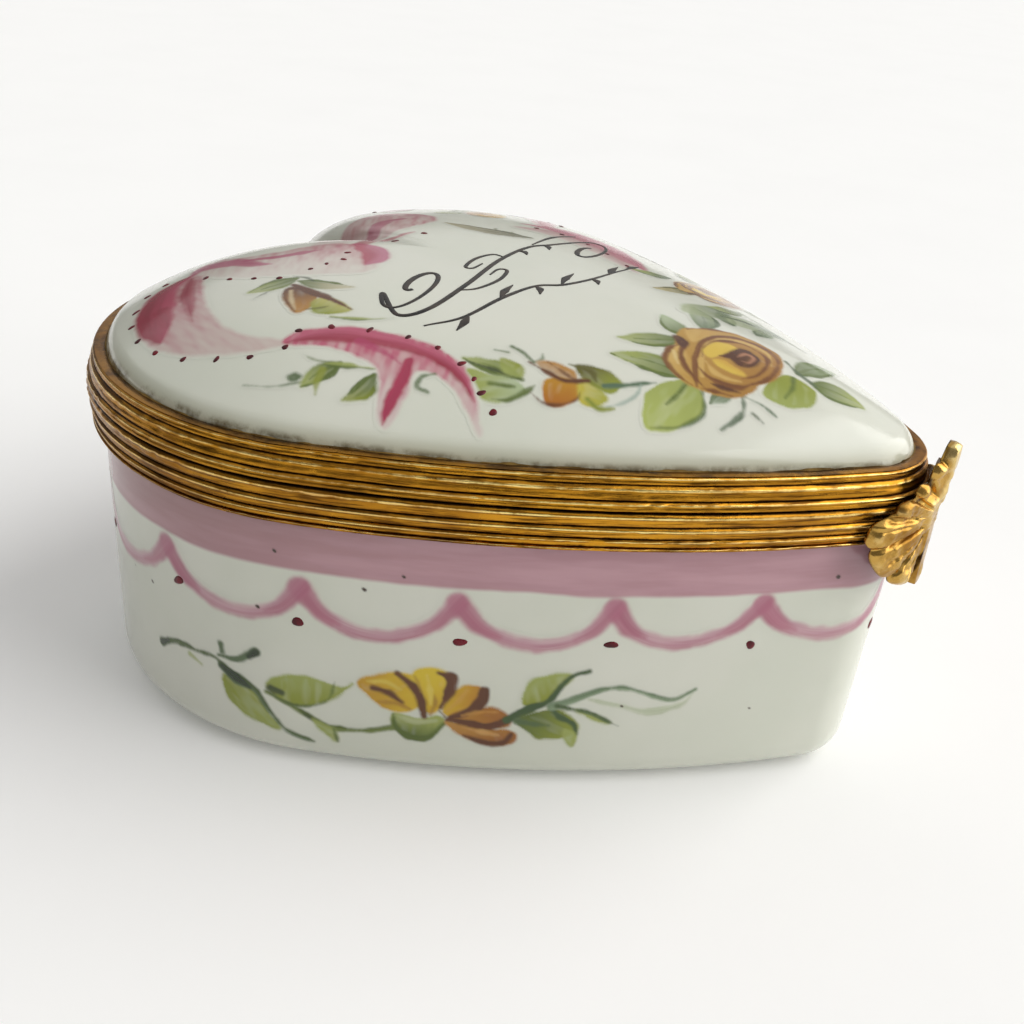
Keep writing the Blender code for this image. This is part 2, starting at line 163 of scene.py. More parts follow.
def wall_inset(z):
    """How far in the bowl's outer wall is at a height."""
    z = np.asarray(z, float)
    rise = np.clip((z - BOWL_CORNER_RADIUS) / (BASE_BAND_BOTTOM - BOWL_CORNER_RADIUS), 0, 1)
    wall = BOWL_FOOT_INSET + (BOWL_RIM_INSET - BOWL_FOOT_INSET) * rise
    below = np.clip(1 - z / BOWL_CORNER_RADIUS, 0, 1)
    return wall + BOWL_CORNER_RADIUS * (1 - np.sqrt(1 - below**2))


def wall_point(s, z, proud=0.0):
    """The points on the bowl's outer wall at a distance s round from the tip and a height z."""
    distance = SHELL.from_tip()
    order = np.argsort(distance)
    wrapped = (np.asarray(s) + HALF_GIRTH) % (2 * HALF_GIRTH) - HALF_GIRTH
    x = np.interp(wrapped, distance[order], SHELL.points[order, 0])
    y = np.interp(wrapped, distance[order], SHELL.points[order, 1])
    out_x = np.interp(wrapped, distance[order], SHELL.outward[order, 0])
    out_y = np.interp(wrapped, distance[order], SHELL.outward[order, 1])
    inset = wall_inset(z) - proud
    return np.stack([x - inset * out_x, y - inset * out_y, np.asarray(z) + 0 * x], axis=-1)


LID_EDGE = SHELL.inset(LID_EDGE_INSET)


def lid_share(x, y):
    """How far a plan point is from the dome's centre, as a share of the way to the edge."""
    edge = LID_EDGE - DOME_CENTRE
    angles = np.arctan2(edge[:, 1], edge[:, 0])
    order = np.argsort(angles)
    reach = np.linalg.norm(edge, axis=1)[order]
    x, y = np.asarray(x) - DOME_CENTRE[0], np.asarray(y) - DOME_CENTRE[1]
    return np.hypot(x, y) / np.interp(np.arctan2(y, x), angles[order], reach, period=2 * math.pi)


def dome_height(share):
    near = np.clip((1 - share) / LID_EDGE_SHARE, 0, 1)
    rise = CROWN_Z - LID_EDGE_Z - LID_EDGE_HEIGHT
    edge = LID_EDGE_Z + LID_EDGE_HEIGHT * np.sqrt(1 - (1 - near) ** 2)
    return edge + rise * (1 - np.minimum(share, 1) ** DOME_POWER)


def lid_point(x, y, proud=0.0):
    """The points on the lid's dome over plan points."""
    z = dome_height(lid_share(x, y)) + proud
    return np.stack([np.asarray(x) + 0 * z, np.asarray(y) + 0 * z, z], axis=-1)


# ---------------------------------------------------------------- numbers

# The noise repeats after this many cells, and painted lines have a point at each step.
LATTICE = 97
BRUSH_STEP = 0.12


def noise(u, v, seed):
    """Smooth random values from 0 to 1 over lattice coordinates u, v."""
    lattice = np.random.default_rng(seed).random((LATTICE, LATTICE))
    u, v = np.broadcast_arrays(np.asarray(u, float), np.asarray(v, float))
    i, j = np.floor(u).astype(int), np.floor(v).astype(int)
    f, g = u - i, v - j
    f, g = f * f * (3 - 2 * f), g * g * (3 - 2 * g)
    i, j = i % LATTICE, j % LATTICE
    k, m = (i + 1) % LATTICE, (j + 1) % LATTICE
    near = lattice[i, j] * (1 - f) + lattice[k, j] * f
    far = lattice[i, m] * (1 - f) + lattice[k, m] * f
    return near * (1 - g) + far * g


def ramp(value, start, end):
    t = np.clip((np.asarray(value, float) - start) / (end - start), 0, 1)
    return t * t * (3 - 2 * t)


def linear(colour):
    """An sRGB colour, 0 to 255, as linear light."""
    c = np.asarray(colour, float) / 255
    return np.where(c <= 0.04045, c / 12.92, ((c + 0.055) / 1.055) ** 2.4)


def blended(colour, tint, share):
    """A colour that turns to its tint, if it has one, over an array of shares."""
    shade = linear(colour) * np.ones(share.shape)
    return shade if tint is None else shade * (1 - share) + linear(tint) * share


def through(points, spacing=BRUSH_STEP):
    """A smooth line through points, and each sample's share of the way along."""
    p = np.asarray(points, float)
    if len(p) == 2:
        count = max(2, math.ceil(np.linalg.norm(p[1] - p[0]) / spacing))
        share = np.linspace(0, 1, count + 1)
        return p[0] + (p[1] - p[0]) * share[:, None], share
    ends = np.vstack([2 * p[0] - p[1], p, 2 * p[-1] - p[-2]])
    line, share = [], []
    for k in range(len(p) - 1):
        a, b, c, d = ends[k:k + 4]
        count = max(2, math.ceil(np.linalg.norm(c - b) / spacing))
        t = np.linspace(0, 1, count, endpoint=False)[:, None]
        line.append(0.5 * (2 * b + (c - a) * t + (2 * a - 5 * b + 4 * c - d) * t**2
                           + (3 * b - a - 3 * c + d) * t**3))
        share.append((k + t[:, 0]) / (len(p) - 1))
    return np.vstack([*line, p[-1:]]), np.concatenate([*share, [1.0]])


def closed_through(points, spacing=0.15):
    """A smooth closed outline through points."""
    p = [tuple(q) for q in points]
    line, share = through([*p[-2:], *p, *p[:2]], spacing)
    first, last = 2 / (len(p) + 3), (len(p) + 2) / (len(p) + 3)
    return line[(share >= first - 1e-9) & (share < last - 1e-9)]


# ---------------------------------------------------------------- painting

# How thickly the paints cover, how much darker they fire, and how fine the painting is.
PAINT_BODY = 1.35
PAINT_DEPTH = 0.72
CELL = 0.085


class Canvas:
    """Enamel colours laid over one another on a flat sheet, in millimetres."""

    def __init__(self, left, bottom, right, top):
        self.u = np.arange(left, right + CELL, CELL)
        self.v = np.arange(bottom, top + CELL, CELL)
        self.colour = np.zeros((len(self.v), len(self.u), 3))
        self.cover = np.zeros((len(self.v), len(self.u)))
        self.seed = 1
        self.flip = 1.0

    def placed(self, points):
        return np.asarray(points, float) * [self.flip, 1.0]

    def window(self, points, margin):
        """The rows and columns round some points, and their grid coordinates."""
        lowest, highest = np.min(points, 0) - margin, np.max(points, 0) + margin
        columns = slice(*np.searchsorted(self.u, [lowest[0], highest[0]]))
        rows = slice(*np.searchsorted(self.v, [lowest[1], highest[1]]))
        u, v = np.meshgrid(self.u[columns], self.v[rows])
        return rows, columns, u, v

    def shake(self, u, v):
        """The brush's unsteadiness, as a distance that an edge is out by."""
        broad = noise(u * 1.3 + self.seed, v * 1.3, self.seed + 200) - 0.5
        return 0.18 * broad + 0.05 * (noise(u * 3.6, v * 3.6 + self.seed, self.seed + 300) - 0.5)

    def lay(self, rows, columns, colour, cover):
        """Lays colour over what is there, as far as it covers."""
        cover = np.clip(cover * PAINT_BODY, 0, 1)
        colour = colour * PAINT_DEPTH
        rest = 1 - cover
        self.colour[rows, columns] = colour * cover[..., None] + self.colour[rows, columns] * rest[..., None]
        self.cover[rows, columns] = cover + self.cover[rows, columns] * rest

    def stroke(self, points, widths, colour, cover=0.9, tint=None, edge=0.21, streak=0.4):
        """One pull of the brush along a line. tint colours its left flank."""
        self.seed += 1
        line, share = through(self.placed(points))
        half = np.interp(share, np.linspace(0, 1, len(widths)), widths) / 2
        rows, columns, u, v = self.window(line, half.max() + edge)
        if u.size == 0:
            return
        best = np.full(u.shape, np.inf)
        nearest = np.zeros(u.shape, int)
        for k, (point, reach) in enumerate(zip(line, half)):
            apart = np.hypot(u - point[0], v - point[1]) - reach
            closer = apart < best
            best[closer] = apart[closer]
            nearest[closer] = k
        best += self.shake(u, v)
        way = np.gradient(line, axis=0)
        way /= np.linalg.norm(way, axis=1)[:, None] + 1e-9
        offset_u, offset_v = u - line[nearest, 0], v - line[nearest, 1]
        side = way[nearest, 0] * offset_v - way[nearest, 1] * offset_u
        side = np.clip(side / (half[nearest] + 1e-6), -1, 1) * self.flip
        along = share[nearest] * len(line) * BRUSH_STEP
        film = 1 - ramp(best, -edge, edge * 0.5)
        hairs = 0.6 * noise(side * 2.2 + 7 * self.seed, along * 0.35, self.seed)
        hairs += 0.4 * noise(side * 6.5 + 3 * self.seed, along * 0.5, self.seed + 90)
        film *= 1 - streak * hairs * (0.4 + 0.4 * ramp(best, -2 * edge, -0.2 * edge))
        flank = ramp(side + 0.5 * (hairs - 0.5), -0.7, 0.7)[..., None]
        shade = blended(colour, tint, flank) * (0.9 + 0.2 * hairs[..., None])
        self.lay(rows, columns, shade, cover * film)

    def wash(self, outline, colour, cover=0.85, tint=None, towards=(1, 0), edge=0.26, streak=0.35, rim=0.1,
             fade=0.0):
        """A filled patch of thin colour. It turns to tint and fades in a direction, and pools at its rim."""
        self.seed += 1
        loop = closed_through(self.placed(outline))
        rows, columns, u, v = self.window(loop, 2 * edge)
        if u.size == 0:
            return
        inside = np.zeros(u.shape, bool)
        apart = np.full(u.shape, np.inf)
        for (ax, ay), (bx, by) in zip(loop, np.roll(loop, -1, 0)):
            rise = by - ay
            if rise:
                crosses = ((ay > v) != (by > v)) & (u < (bx - ax) * (v - ay) / rise + ax)
                inside ^= crosses
            apart = np.minimum(apart, np.hypot(u - ax, v - ay))
        apart = np.where(inside, apart, -apart) + self.shake(u, v)
        way = self.placed([towards])[0]
        way = way / np.linalg.norm(way)
        along, across = u * way[0] + v * way[1], u * way[1] - v * way[0]
        mottle = noise(along * 0.6, across * 2.4 + self.seed, self.seed) * 0.6
        mottle += noise(along * 1.2, across * 4.0, self.seed + 50) * 0.4
        film = ramp(apart, -edge, edge * 0.6) * (1 - streak * mottle)
        film += rim * ramp(apart, -edge, 0) * (1 - ramp(apart, 0, 0.35))
        ends = loop @ way
        share = ramp(along + (mottle - 0.5) * 0.3 * np.ptp(ends), ends.min(), ends.max())[..., None]
        film *= 1 - fade * share[..., 0]
        self.lay(rows, columns, blended(colour, tint, share), cover * film)

    def leaf(self, base, tip, width, colour, dark, bend=0.0, side=1, vein=0.5, cover=0.8):
        """A leaf from base to tip: a light wash, a dark stroke down one edge, and a vein."""
        base, tip = np.asarray(base, float), np.asarray(tip, float)
        axis = tip - base
        across = np.array([-axis[1], axis[0]]) / np.linalg.norm(axis)
        share = np.linspace(0, 1, 9)[:, None]
        middle = base + axis * share + across * bend * 4 * share * (1 - share)
        swell = across * width / 2 * np.sin(math.pi * share**0.85) ** 0.8
        left, right = middle + swell, middle - swell
        self.wash([*left, *right[-2:0:-1]], colour, cover, tint=dark, towards=-axis, streak=0.35)
        edge = left if side > 0 else right
        self.stroke(edge[::2], [0.15, 0.42, 0.3, 0.12], dark, 0.75, edge=0.1)
        if vein:
            self.stroke(middle[:7:2], [0.32, 0.26, 0.1], dark, vein, edge=0.1)


# Paints.
CRIMSON = (166, 36, 64)
ROSE_PINK = (186, 60, 88)
DUSKY_PINK = (200, 130, 138)
PALE_PINK = (216, 178, 176)
SCALLOP_PINK = (200, 124, 148)
LEAF_LIGHT = (172, 184, 96)
LEAF_FRESH = (154, 164, 48)
LEAF_GREEN = (96, 116, 36)
LEAF_DARK = (48, 66, 22)
LEAF_GREY = (104, 124, 84)
OLIVE = (100, 96, 16)
YELLOW = (226, 184, 24)
LEMON = (212, 198, 72)
GOLD_TAN = (198, 142, 56)
ORANGE = (192, 116, 6)
BROWN = (104, 54, 8)
UMBER = (76, 40, 8)


def ribbon(canvas):
    """The pink ribbon on the lid: left loop, upper run with its bulb, centre fold and far run."""
    stroke, wash = canvas.stroke, canvas.wash
    # Left loop: pale body, then the crimson crook laid over its outer bend.
    wash([(-14.0, 22.6), (-16.6, 23.5), (-19.3, 21.8), (-21.4, 19.6), (-22.7, 17.0), (-22.8, 14.2),
          (-21.9, 11.3), (-20.3, 9.0), (-19.5, 8.6), (-20.2, 11.0), (-19.9, 13.8), (-18.0, 16.9),
          (-15.6, 19.4), (-13.4, 21.4)], DUSKY_PINK, 0.8, tint=PALE_PINK, towards=(-0.4, -1), edge=0.4,
         streak=0.4, fade=0.3)
    stroke([(-12.9, 22.4), (-15.6, 22.6), (-18.6, 20.9), (-20.8, 18.9), (-22.2, 17.2)], [0.5, 2.0, 3.0, 2.4,
                                                                                         0.4], CRIMSON, 1.0,
           tint=(190, 66, 96), edge=0.4, streak=0.6)
    stroke([(-13.8, 21.9), (-16.2, 20.2), (-18.2, 18.2), (-19.8, 16.5)], [0.6, 1.3, 0.9, 0.1], CRIMSON,
           0.75, edge=0.3, streak=0.4)
    stroke([(-18.8, 20.2), (-20.0, 18.8), (-20.9, 17.6)], [1.4, 1.2, 0.2], CRIMSON, 0.6, edge=0.3)
    # Upper run, from the loop to the bulb.
    wash([(-13.0, 22.5), (-11.2, 23.4), (-10.0, 22.6), (-9.6, 20.6), (-8.0, 18.6), (-6.0, 17.4),
          (-4.0, 15.8), (-4.3, 13.4), (-6.0, 10.9), (-8.6, 10.4), (-10.6, 12.6), (-12.0, 14.8),
          (-13.2, 17.0), (-13.6, 19.6)], DUSKY_PINK, 0.75, tint=PALE_PINK, towards=(-0.9, -0.5), edge=0.4,
         streak=0.45, fade=0.6)
    stroke([(-13.0, 22.6), (-11.6, 22.4), (-10.8, 20.6), (-10.9, 18.4), (-10.6, 17.2)], [0.5, 1.9, 1.9, 1.2,
                                                                                         0.3],
           (190, 78, 116), 0.7, edge=0.3, streak=0.5)
    stroke([(-10.3, 19.8), (-9.2, 18.0), (-7.6, 16.8), (-6.2, 16.0)], [0.5, 0.9, 0.9, 0.2], (188, 86, 118),
           0.7, edge=0.2)
    stroke([(-3.6, 14.6), (-4.2, 12.8), (-5.6, 11.6), (-7.4, 11.2)], [1.2, 2.4, 2.2, 0.5], ROSE_PINK, 0.95,
           tint=(206, 120, 146), edge=0.4)
    stroke([(-4.4, 13.8), (-2.6, 14.6), (0.0, 14.3), (2.4, 13.4)], [0.9, 1.3, 1.0, 0.4], ROSE_PINK, 0.6,
           edge=0.25)
    # Run through the cleft to the far lobe, and down the far side.
    wash([(-5.6, 17.0), (-3.2, 18.2), (0.6, 19.8), (4.4, 21.0), (7.2, 19.4), (8.4, 16.2), (7.0, 14.4),
          (3.6, 14.6), (0.0, 15.2), (-3.0, 15.4)], DUSKY_PINK, 0.75, tint=PALE_PINK, towards=(-0.9, -0.5),
         edge=0.4, streak=0.45, fade=0.5)
    stroke([(-2.8, 16.2), (0.6, 16.4), (3.6, 17.4), (6.0, 16.6)], [0.5, 1.2, 1.5, 0.5], (188, 96, 120), 0.7,
           edge=0.3)
    stroke([(12.6, 9.2), (13.9, 6.6), (14.2, 4.2), (13.2, 1.6), (11.2, -1.4), (9.2, -4.0)], [0.4, 2.4, 3.6,
                                                                                             3.6, 2.6, 0.5],
           (206, 120, 138), 0.8, tint=(192, 84, 110), edge=0.4, streak=0.5)
    stroke([(10.8, 8.6), (11.9, 6.2), (12.0, 3.8), (11.0, 1.2), (9.4, -1.4), (7.6, -3.8)], [0.8, 2.4, 2.8,
                                                                                            2.6, 2.0, 0.4],
           PALE_PINK, 0.6, tint=DUSKY_PINK, edge=0.5, streak=0.5)
    # Centre fold and its two tails.
    wash([(-19.8, 8.7), (-18.4, 8.6), (-17.1, 7.0), (-15.9, 4.9), (-15.1, 2.3), (-14.9, 0.2), (-15.3, -1.9),
          (-16.2, -3.3), (-17.5, -4.6), (-19.2, -6.0), (-17.9, -3.9), (-17.2, -2.4), (-16.9, -1.0),
          (-17.6, 0.0), (-19.6, -0.6), (-22.0, -0.9), (-21.3, 0.2), (-19.4, 1.3), (-18.6, 2.3),
          (-18.4, 3.8), (-18.7, 6.0)], (206, 96, 124), 0.85, tint=(224, 172, 182), towards=(-1, -0.4),
         edge=0.3, streak=0.45, fade=0.5)
    stroke([(-19.6, 8.6), (-18.2, 7.4), (-17.0, 5.6), (-16.2, 3.4), (-15.7, 1.2), (-15.7, -0.8),
            (-16.2, -2.6), (-17.4, -4.4)], [0.3, 1.5, 1.9, 1.6, 1.1, 1.1, 0.9, 0.2], CRIMSON, 0.85,
           tint=(204, 96, 124), edge=0.3, streak=0.5)
    stroke([(-17.2, 4.6), (-17.2, 2.6), (-17.5, 1.2)], [0.8, 0.6, 0.2], (190, 60, 106), 0.6, edge=0.2)
    stroke([(-17.0, 0.9), (-18.6, 0.3), (-20.4, -0.1), (-21.9, -0.6)], [0.7, 1.1, 0.9, 0.25], (188, 58, 92),
           0.85, edge=0.22, streak=0.35)


def small_bud(canvas):
    """The brown bud under the upper ribbon, with its leaves."""
    stroke, wash, leaf = canvas.stroke, canvas.wash, canvas.leaf
    leaf((-12.2, 13.6), (-15.6, 15.2), 1.5, LEAF_LIGHT, LEAF_GREEN, bend=0.2, side=-1)
    stroke([(-13.9, 13.6), (-15.0, 14.0), (-16.2, 14.2)], [0.25, 0.25, 0.08], LEAF_DARK, 0.6)
    leaf((-12.6, 13.2), (-11.5, 9.3), 1.3, (214, 206, 172), LEAF_GREEN, bend=-0.3, side=1, vein=0)
    stroke([(-12.0, 14.1), (-11.9, 13.0), (-12.1, 12.2)], [0.2, 0.5, 0.2], LEAF_DARK, 0.7)
    wash([(-13.7, 13.0), (-14.9, 12.7), (-16.6, 10.5), (-15.9, 9.9), (-14.6, 10.2), (-13.6, 11.0)],
         GOLD_TAN, 0.9, tint=BROWN, towards=(1, 1))
    stroke([(-14.2, 12.6), (-15.4, 11.6), (-16.3, 10.6)], [0.4, 0.5, 0.2], (226, 204, 160), 0.8)
    stroke([(-14.8, 12.8), (-15.8, 11.6), (-16.6, 10.4)], [0.15, 0.22, 0.12], BROWN, 0.8)
    wash([(-13.8, 9.8), (-15.1, 10.2), (-16.0, 9.0), (-15.2, 7.6), (-14.3, 7.4)], (206, 200, 112), 0.85,
         tint=LEAF_FRESH, towards=(-1, 0))
    stroke([(-13.3, 13.0), (-13.7, 11.2), (-13.9, 9.4), (-14.4, 7.3)], [0.5, 0.8, 0.7, 0.3], BROWN, 0.85)
    stroke([(-15.9, 9.9), (-15.3, 9.2), (-14.9, 8.9)], [0.3, 0.35, 0.1], OLIVE, 0.8)
    stroke([(-15.9, 7.9), (-15.4, 6.6), (-14.8, 5.6), (-13.7, 4.4)], [0.25, 0.5, 0.35, 0.1], LEAF_GREEN,
           0.8, tint=LEAF_LIGHT)


def left_sprig(canvas):
    """The sprig that lies under the centre ribbon, and the grey leaf in its fold."""
    stroke, wash, leaf = canvas.stroke, canvas.wash, canvas.leaf
    stroke([(-23.9, 8.7), (-23.3, 7.1), (-22.6, 6.1), (-22.0, 5.4)], [0.12, 0.25, 0.25, 0.2], LEAF_GREY,
           0.7)
    wash([(-22.1, 6.6), (-21.7, 6.3), (-21.8, 5.8), (-22.3, 5.9), (-22.4, 6.3)], LEAF_GREY, 0.8)
    leaf((-19.6, 4.4), (-22.4, 5.3), 1.3, LEAF_LIGHT, LEAF_GREEN, bend=-0.2, side=1, vein=0.6)
    stroke([(-20.6, 5.0), (-21.6, 4.7), (-22.4, 4.2)], [0.5, 0.45, 0.1], LEAF_FRESH, 0.7)
    stroke([(-20.1, 7.0), (-20.2, 6.0), (-19.8, 4.8)], [0.15, 0.2, 0.15], LEAF_GREEN, 0.6)
    stroke([(-20.1, 5.1), (-19.5, 3.8), (-18.8, 2.3)], [0.4, 0.6, 0.3], LEAF_GREEN, 0.8, tint=LEAF_LIGHT)
    leaf((-19.2, 2.0), (-21.9, 2.5), 1.2, LEAF_FRESH, LEAF_GREEN, bend=0.5, side=-1, vein=0.4)
    stroke([(-17.0, -1.1), (-17.7, -0.6), (-18.5, -0.8), (-18.5, -1.6)], [0.3, 0.6, 0.6, 0.2], LEAF_GREY,
           0.85)


def centre_leaves(canvas):
    """The pair of leaves at the centre ribbon's end, and the tendrils over them."""
    stroke, wash, leaf = canvas.stroke, canvas.wash, canvas.leaf
    leaf((-14.1, -5.9), (-14.7, -1.8), 1.2, LEAF_LIGHT, LEAF_GREEN, bend=-0.2, side=1, vein=0.5)
    stroke([(-14.8, -2.2), (-14.4, -4.0), (-14.1, -5.8)], [0.2, 0.4, 0.2], LEAF_DARK, 0.7)
    wash([(-13.2, -3.8), (-13.0, -5.2), (-13.9, -5.8), (-14.2, -4.6)], LEAF_LIGHT, 0.75, tint=LEAF_FRESH)
    wash([(-15.4, -2.6), (-16.1, -3.8), (-16.9, -4.8), (-16.3, -6.0), (-14.9, -6.6), (-14.4, -5.6),
          (-14.9, -4.2)], LEAF_LIGHT, 0.85, tint=(190, 206, 160), towards=(1, -1))
    stroke([(-16.6, -5.2), (-16.0, -6.1), (-14.8, -6.6), (-14.0, -6.8)], [0.2, 0.4, 0.5, 0.2], LEAF_GREEN,
           0.75)
    stroke([(-15.6, -4.4), (-14.9, -5.8)], [0.45, 0.3], LEAF_GREEN, 0.8)
    stroke([(-12.7, -3.0), (-12.4, -3.8)], [0.3, 0.35], LEAF_GREY, 0.8)
    stroke([(-11.7, -3.7), (-11.8, -4.6), (-12.2, -5.6)], [0.5, 0.35, 0.3], LEAF_GREY, 0.85)
    stroke([(-12.2, -5.7), (-11.6, -5.9), (-11.1, -5.7)], [0.25, 0.35, 0.2], LEAF_GREY, 0.75)


def centre_bud(canvas):
    """The brown and orange bud between the ribbon and the rose."""
    stroke, wash = canvas.stroke, canvas.wash
    wash([(-12.1, -5.9), (-11.5, -6.6), (-11.3, -8.2), (-12.2, -8.7), (-12.6, -7.2)], (206, 176, 140), 0.85,
         tint=GOLD_TAN)
    wash([(-13.2, -7.2), (-14.6, -7.9), (-14.6, -8.7), (-13.6, -9.4), (-12.3, -9.4), (-12.3, -8.2)], ORANGE,
         0.95, tint=(204, 146, 18), towards=(1, 0.3), rim=0.25)
    wash([(-11.9, -9.0), (-11.4, -9.3), (-12.0, -11.0), (-13.2, -10.6), (-13.2, -9.6)], LEMON, 0.85,
         tint=(186, 186, 70), towards=(0.2, -1))
    wash([(-10.6, -8.1), (-9.9, -9.8), (-10.3, -11.2), (-11.6, -10.9), (-11.5, -9.0)], LEAF_FRESH, 0.85,
         tint=OLIVE, towards=(0.4, 1))
    stroke([(-12.9, -10.1), (-13.1, -11.0), (-12.5, -11.8)], [0.4, 0.6, 0.3], (150, 160, 52), 0.8)
    stroke([(-12.4, -5.4), (-12.5, -7.0), (-12.4, -8.2), (-11.5, -9.3)], [0.2, 0.45, 0.6, 0.4], BROWN, 0.9)
    stroke([(-11.6, -6.4), (-11.8, -7.6), (-12.0, -8.6)], [0.15, 0.3, 0.3], BROWN, 0.75)
    stroke([(-14.7, -6.9), (-14.9, -7.9), (-14.5, -8.8), (-13.4, -9.5), (-12.6, -9.4)], [0.15, 0.25, 0.3,
                                                                                         0.35, 0.15], BROWN,
           0.8)
    stroke([(-10.9, -7.6), (-10.6, -9.0), (-11.2, -9.8)], [0.2, 0.6, 0.3], OLIVE, 0.8)
    stroke([(-11.2, -10.4), (-10.3, -11.4), (-9.4, -12.2), (-8.7, -12.9)], [0.6, 0.55, 0.35, 0.2],
           (92, 120, 90), 0.85)
    stroke([(-12.6, -11.4), (-11.6, -12.1), (-10.4, -12.4), (-9.5, -12.2)], [0.3, 0.45, 0.35, 0.15],
           (176, 194, 180), 0.8)


def rose(canvas, centre, along, up):
    """A full-blown golden rose on skewed axes: a turned-back outer petal, cupped petals and a dark heart."""
    stroke, wash = canvas.stroke, canvas.wash

    def at(points):
        p = np.asarray(points, float)
        return np.asarray(centre) + p[:, :1] * np.asarray(along) + p[:, 1:] * np.asarray(up)

    def pull(points, widths, colour, cover=0.85):
        stroke(at(points), widths, colour, cover, edge=0.17, streak=0.5)

    body, light, yellow = (204, 158, 66), (226, 186, 102), (240, 204, 78)
    brown, umber = (130, 76, 18), (94, 48, 12)
    wash(at([(-3.3, 0.8), (-3.1, 1.5), (-2.6, 2.0), (-1.2, 2.05), (0.3, 2.0), (1.7, 1.6), (3.0, 1.0),
             (3.8, 0.4), (4.0, -0.3), (3.5, -1.2), (2.2, -1.6), (1.5, -2.0), (0.3, -2.1), (-1.0, -1.8),
             (-2.4, -1.3), (-3.3, -0.7), (-3.9, 0.1), (-3.7, 0.6)]), body, 1.0, tint=(184, 132, 52),
         towards=(0.2, -1))
    # The turned-back petal at the left.
    wash(at([(-3.8, 0.2), (-3.4, 0.7), (-2.8, 0.7), (-2.4, 0.0), (-1.9, -0.9), (-1.5, -1.5), (-2.4, -1.2),
             (-3.2, -0.7)]), light, 0.9, tint=body, towards=(0, -1))
    pull([(-2.8, 0.9), (-3.5, 0.75), (-3.9, 0.2), (-3.6, -0.4), (-2.9, -0.95), (-2.0, -1.45)], [0.2, 0.5,
                                                                                                0.6, 0.45,
                                                                                                0.4, 0.2],
         brown)
    pull([(-2.6, 1.0), (-2.85, 0.3), (-2.55, -0.4), (-1.95, -1.0), (-1.2, -1.6)], [0.3, 0.55, 0.5, 0.45,
                                                                                   0.2], brown)
    pull([(-3.35, 0.5), (-3.2, 0.1), (-3.0, -0.25)], [0.35, 0.4, 0.15], (238, 212, 146))
    wash(at([(-3.4, 1.5), (-2.9, 1.4), (-2.4, 1.0), (-2.7, 0.75), (-3.1, 1.0)]), umber, 0.9)
    # The cupped outer petals.
    wash(at([(-2.5, 1.9), (-1.0, 1.9), (0.8, 1.75), (2.2, 1.25), (0.9, 1.5), (-0.8, 1.45), (-2.1, 1.1)]),
         light, 0.85, tint=body, towards=(1, 0))
    pull([(-2.5, 2.0), (-1.4, 2.1), (0.0, 2.0), (1.3, 1.7)], [0.15, 0.35, 0.4, 0.15], brown)
    pull([(-1.7, -1.5), (-1.9, -0.6), (-1.85, 0.3), (-1.5, 1.0), (-0.5, 1.45), (0.9, 1.5), (2.3, 1.1),
          (3.3, 0.6), (3.8, 0.1)], [0.2, 0.45, 0.5, 0.45, 0.5, 0.55, 0.5, 0.4, 0.15], brown)
    pull([(-1.4, -1.0), (-1.5, 0.0), (-1.1, 0.9), (-0.1, 1.25), (1.2, 1.2), (2.4, 0.8), (3.1, 0.3),
          (3.2, -0.5)], [0.3, 0.5, 0.45, 0.5, 0.5, 0.5, 0.45, 0.2], light)
    pull([(3.1, 0.6), (3.65, 0.0), (3.5, -0.75), (2.8, -1.3), (1.9, -1.5)], [0.15, 0.35, 0.4, 0.4, 0.2],
         brown)
    pull([(2.4, 0.5), (2.95, 0.0), (2.8, -0.6), (2.2, -1.05), (1.2, -1.2)], [0.2, 0.4, 0.45, 0.4, 0.2],
         brown)
    pull([(-1.75, -0.45), (-1.0, -1.05), (0.1, -1.5), (1.1, -1.65), (1.9, -1.5)], [0.2, 0.45, 0.55, 0.5,
                                                                                   0.2], brown)
    pull([(-1.2, -0.2), (-0.7, -0.75), (0.1, -1.15), (1.1, -1.35)], [0.3, 0.5, 0.5, 0.2], light)
    pull([(-1.4, -1.6), (-0.5, -1.8), (0.6, -2.05)], [0.15, 0.45, 0.2], brown)
    pull([(-0.8, -1.4), (0.0, -1.65), (1.1, -1.9)], [0.2, 0.5, 0.2], umber)
    # The heart, with its two bright petals.
    pull([(-1.45, 0.1), (-1.3, 0.7), (-0.6, 1.1), (0.4, 1.15), (1.4, 1.0), (2.2, 0.6)], [0.15, 0.35, 0.4,
                                                                                         0.4, 0.35, 0.15],
         brown)
    wash(at([(-1.4, 0.5), (-0.7, 0.95), (0.3, 0.9), (0.9, 0.55), (0.1, 0.25), (-0.9, 0.1)]), yellow, 0.95)
    wash(at([(-0.7, -0.1), (0.0, -0.15), (0.95, -0.7), (1.3, -1.0), (0.3, -0.75), (-0.4, -0.4)]), yellow,
         0.95, tint=(226, 180, 70))
    wash(at([(0.1, 0.15), (1.1, 0.6), (1.9, 0.4), (2.4, -0.1), (1.9, -0.55), (1.1, -0.5), (0.5, -0.05)]),
         umber, 0.9)
    pull([(0.9, 0.05), (1.5, 0.25), (2.0, 0.0), (1.7, -0.3), (1.2, -0.2)], [0.2, 0.3, 0.3, 0.3, 0.15],
         (190, 132, 96))
    pull([(-0.3, 0.15), (0.3, 0.1), (0.9, -0.1)], [0.15, 0.3, 0.2], umber)


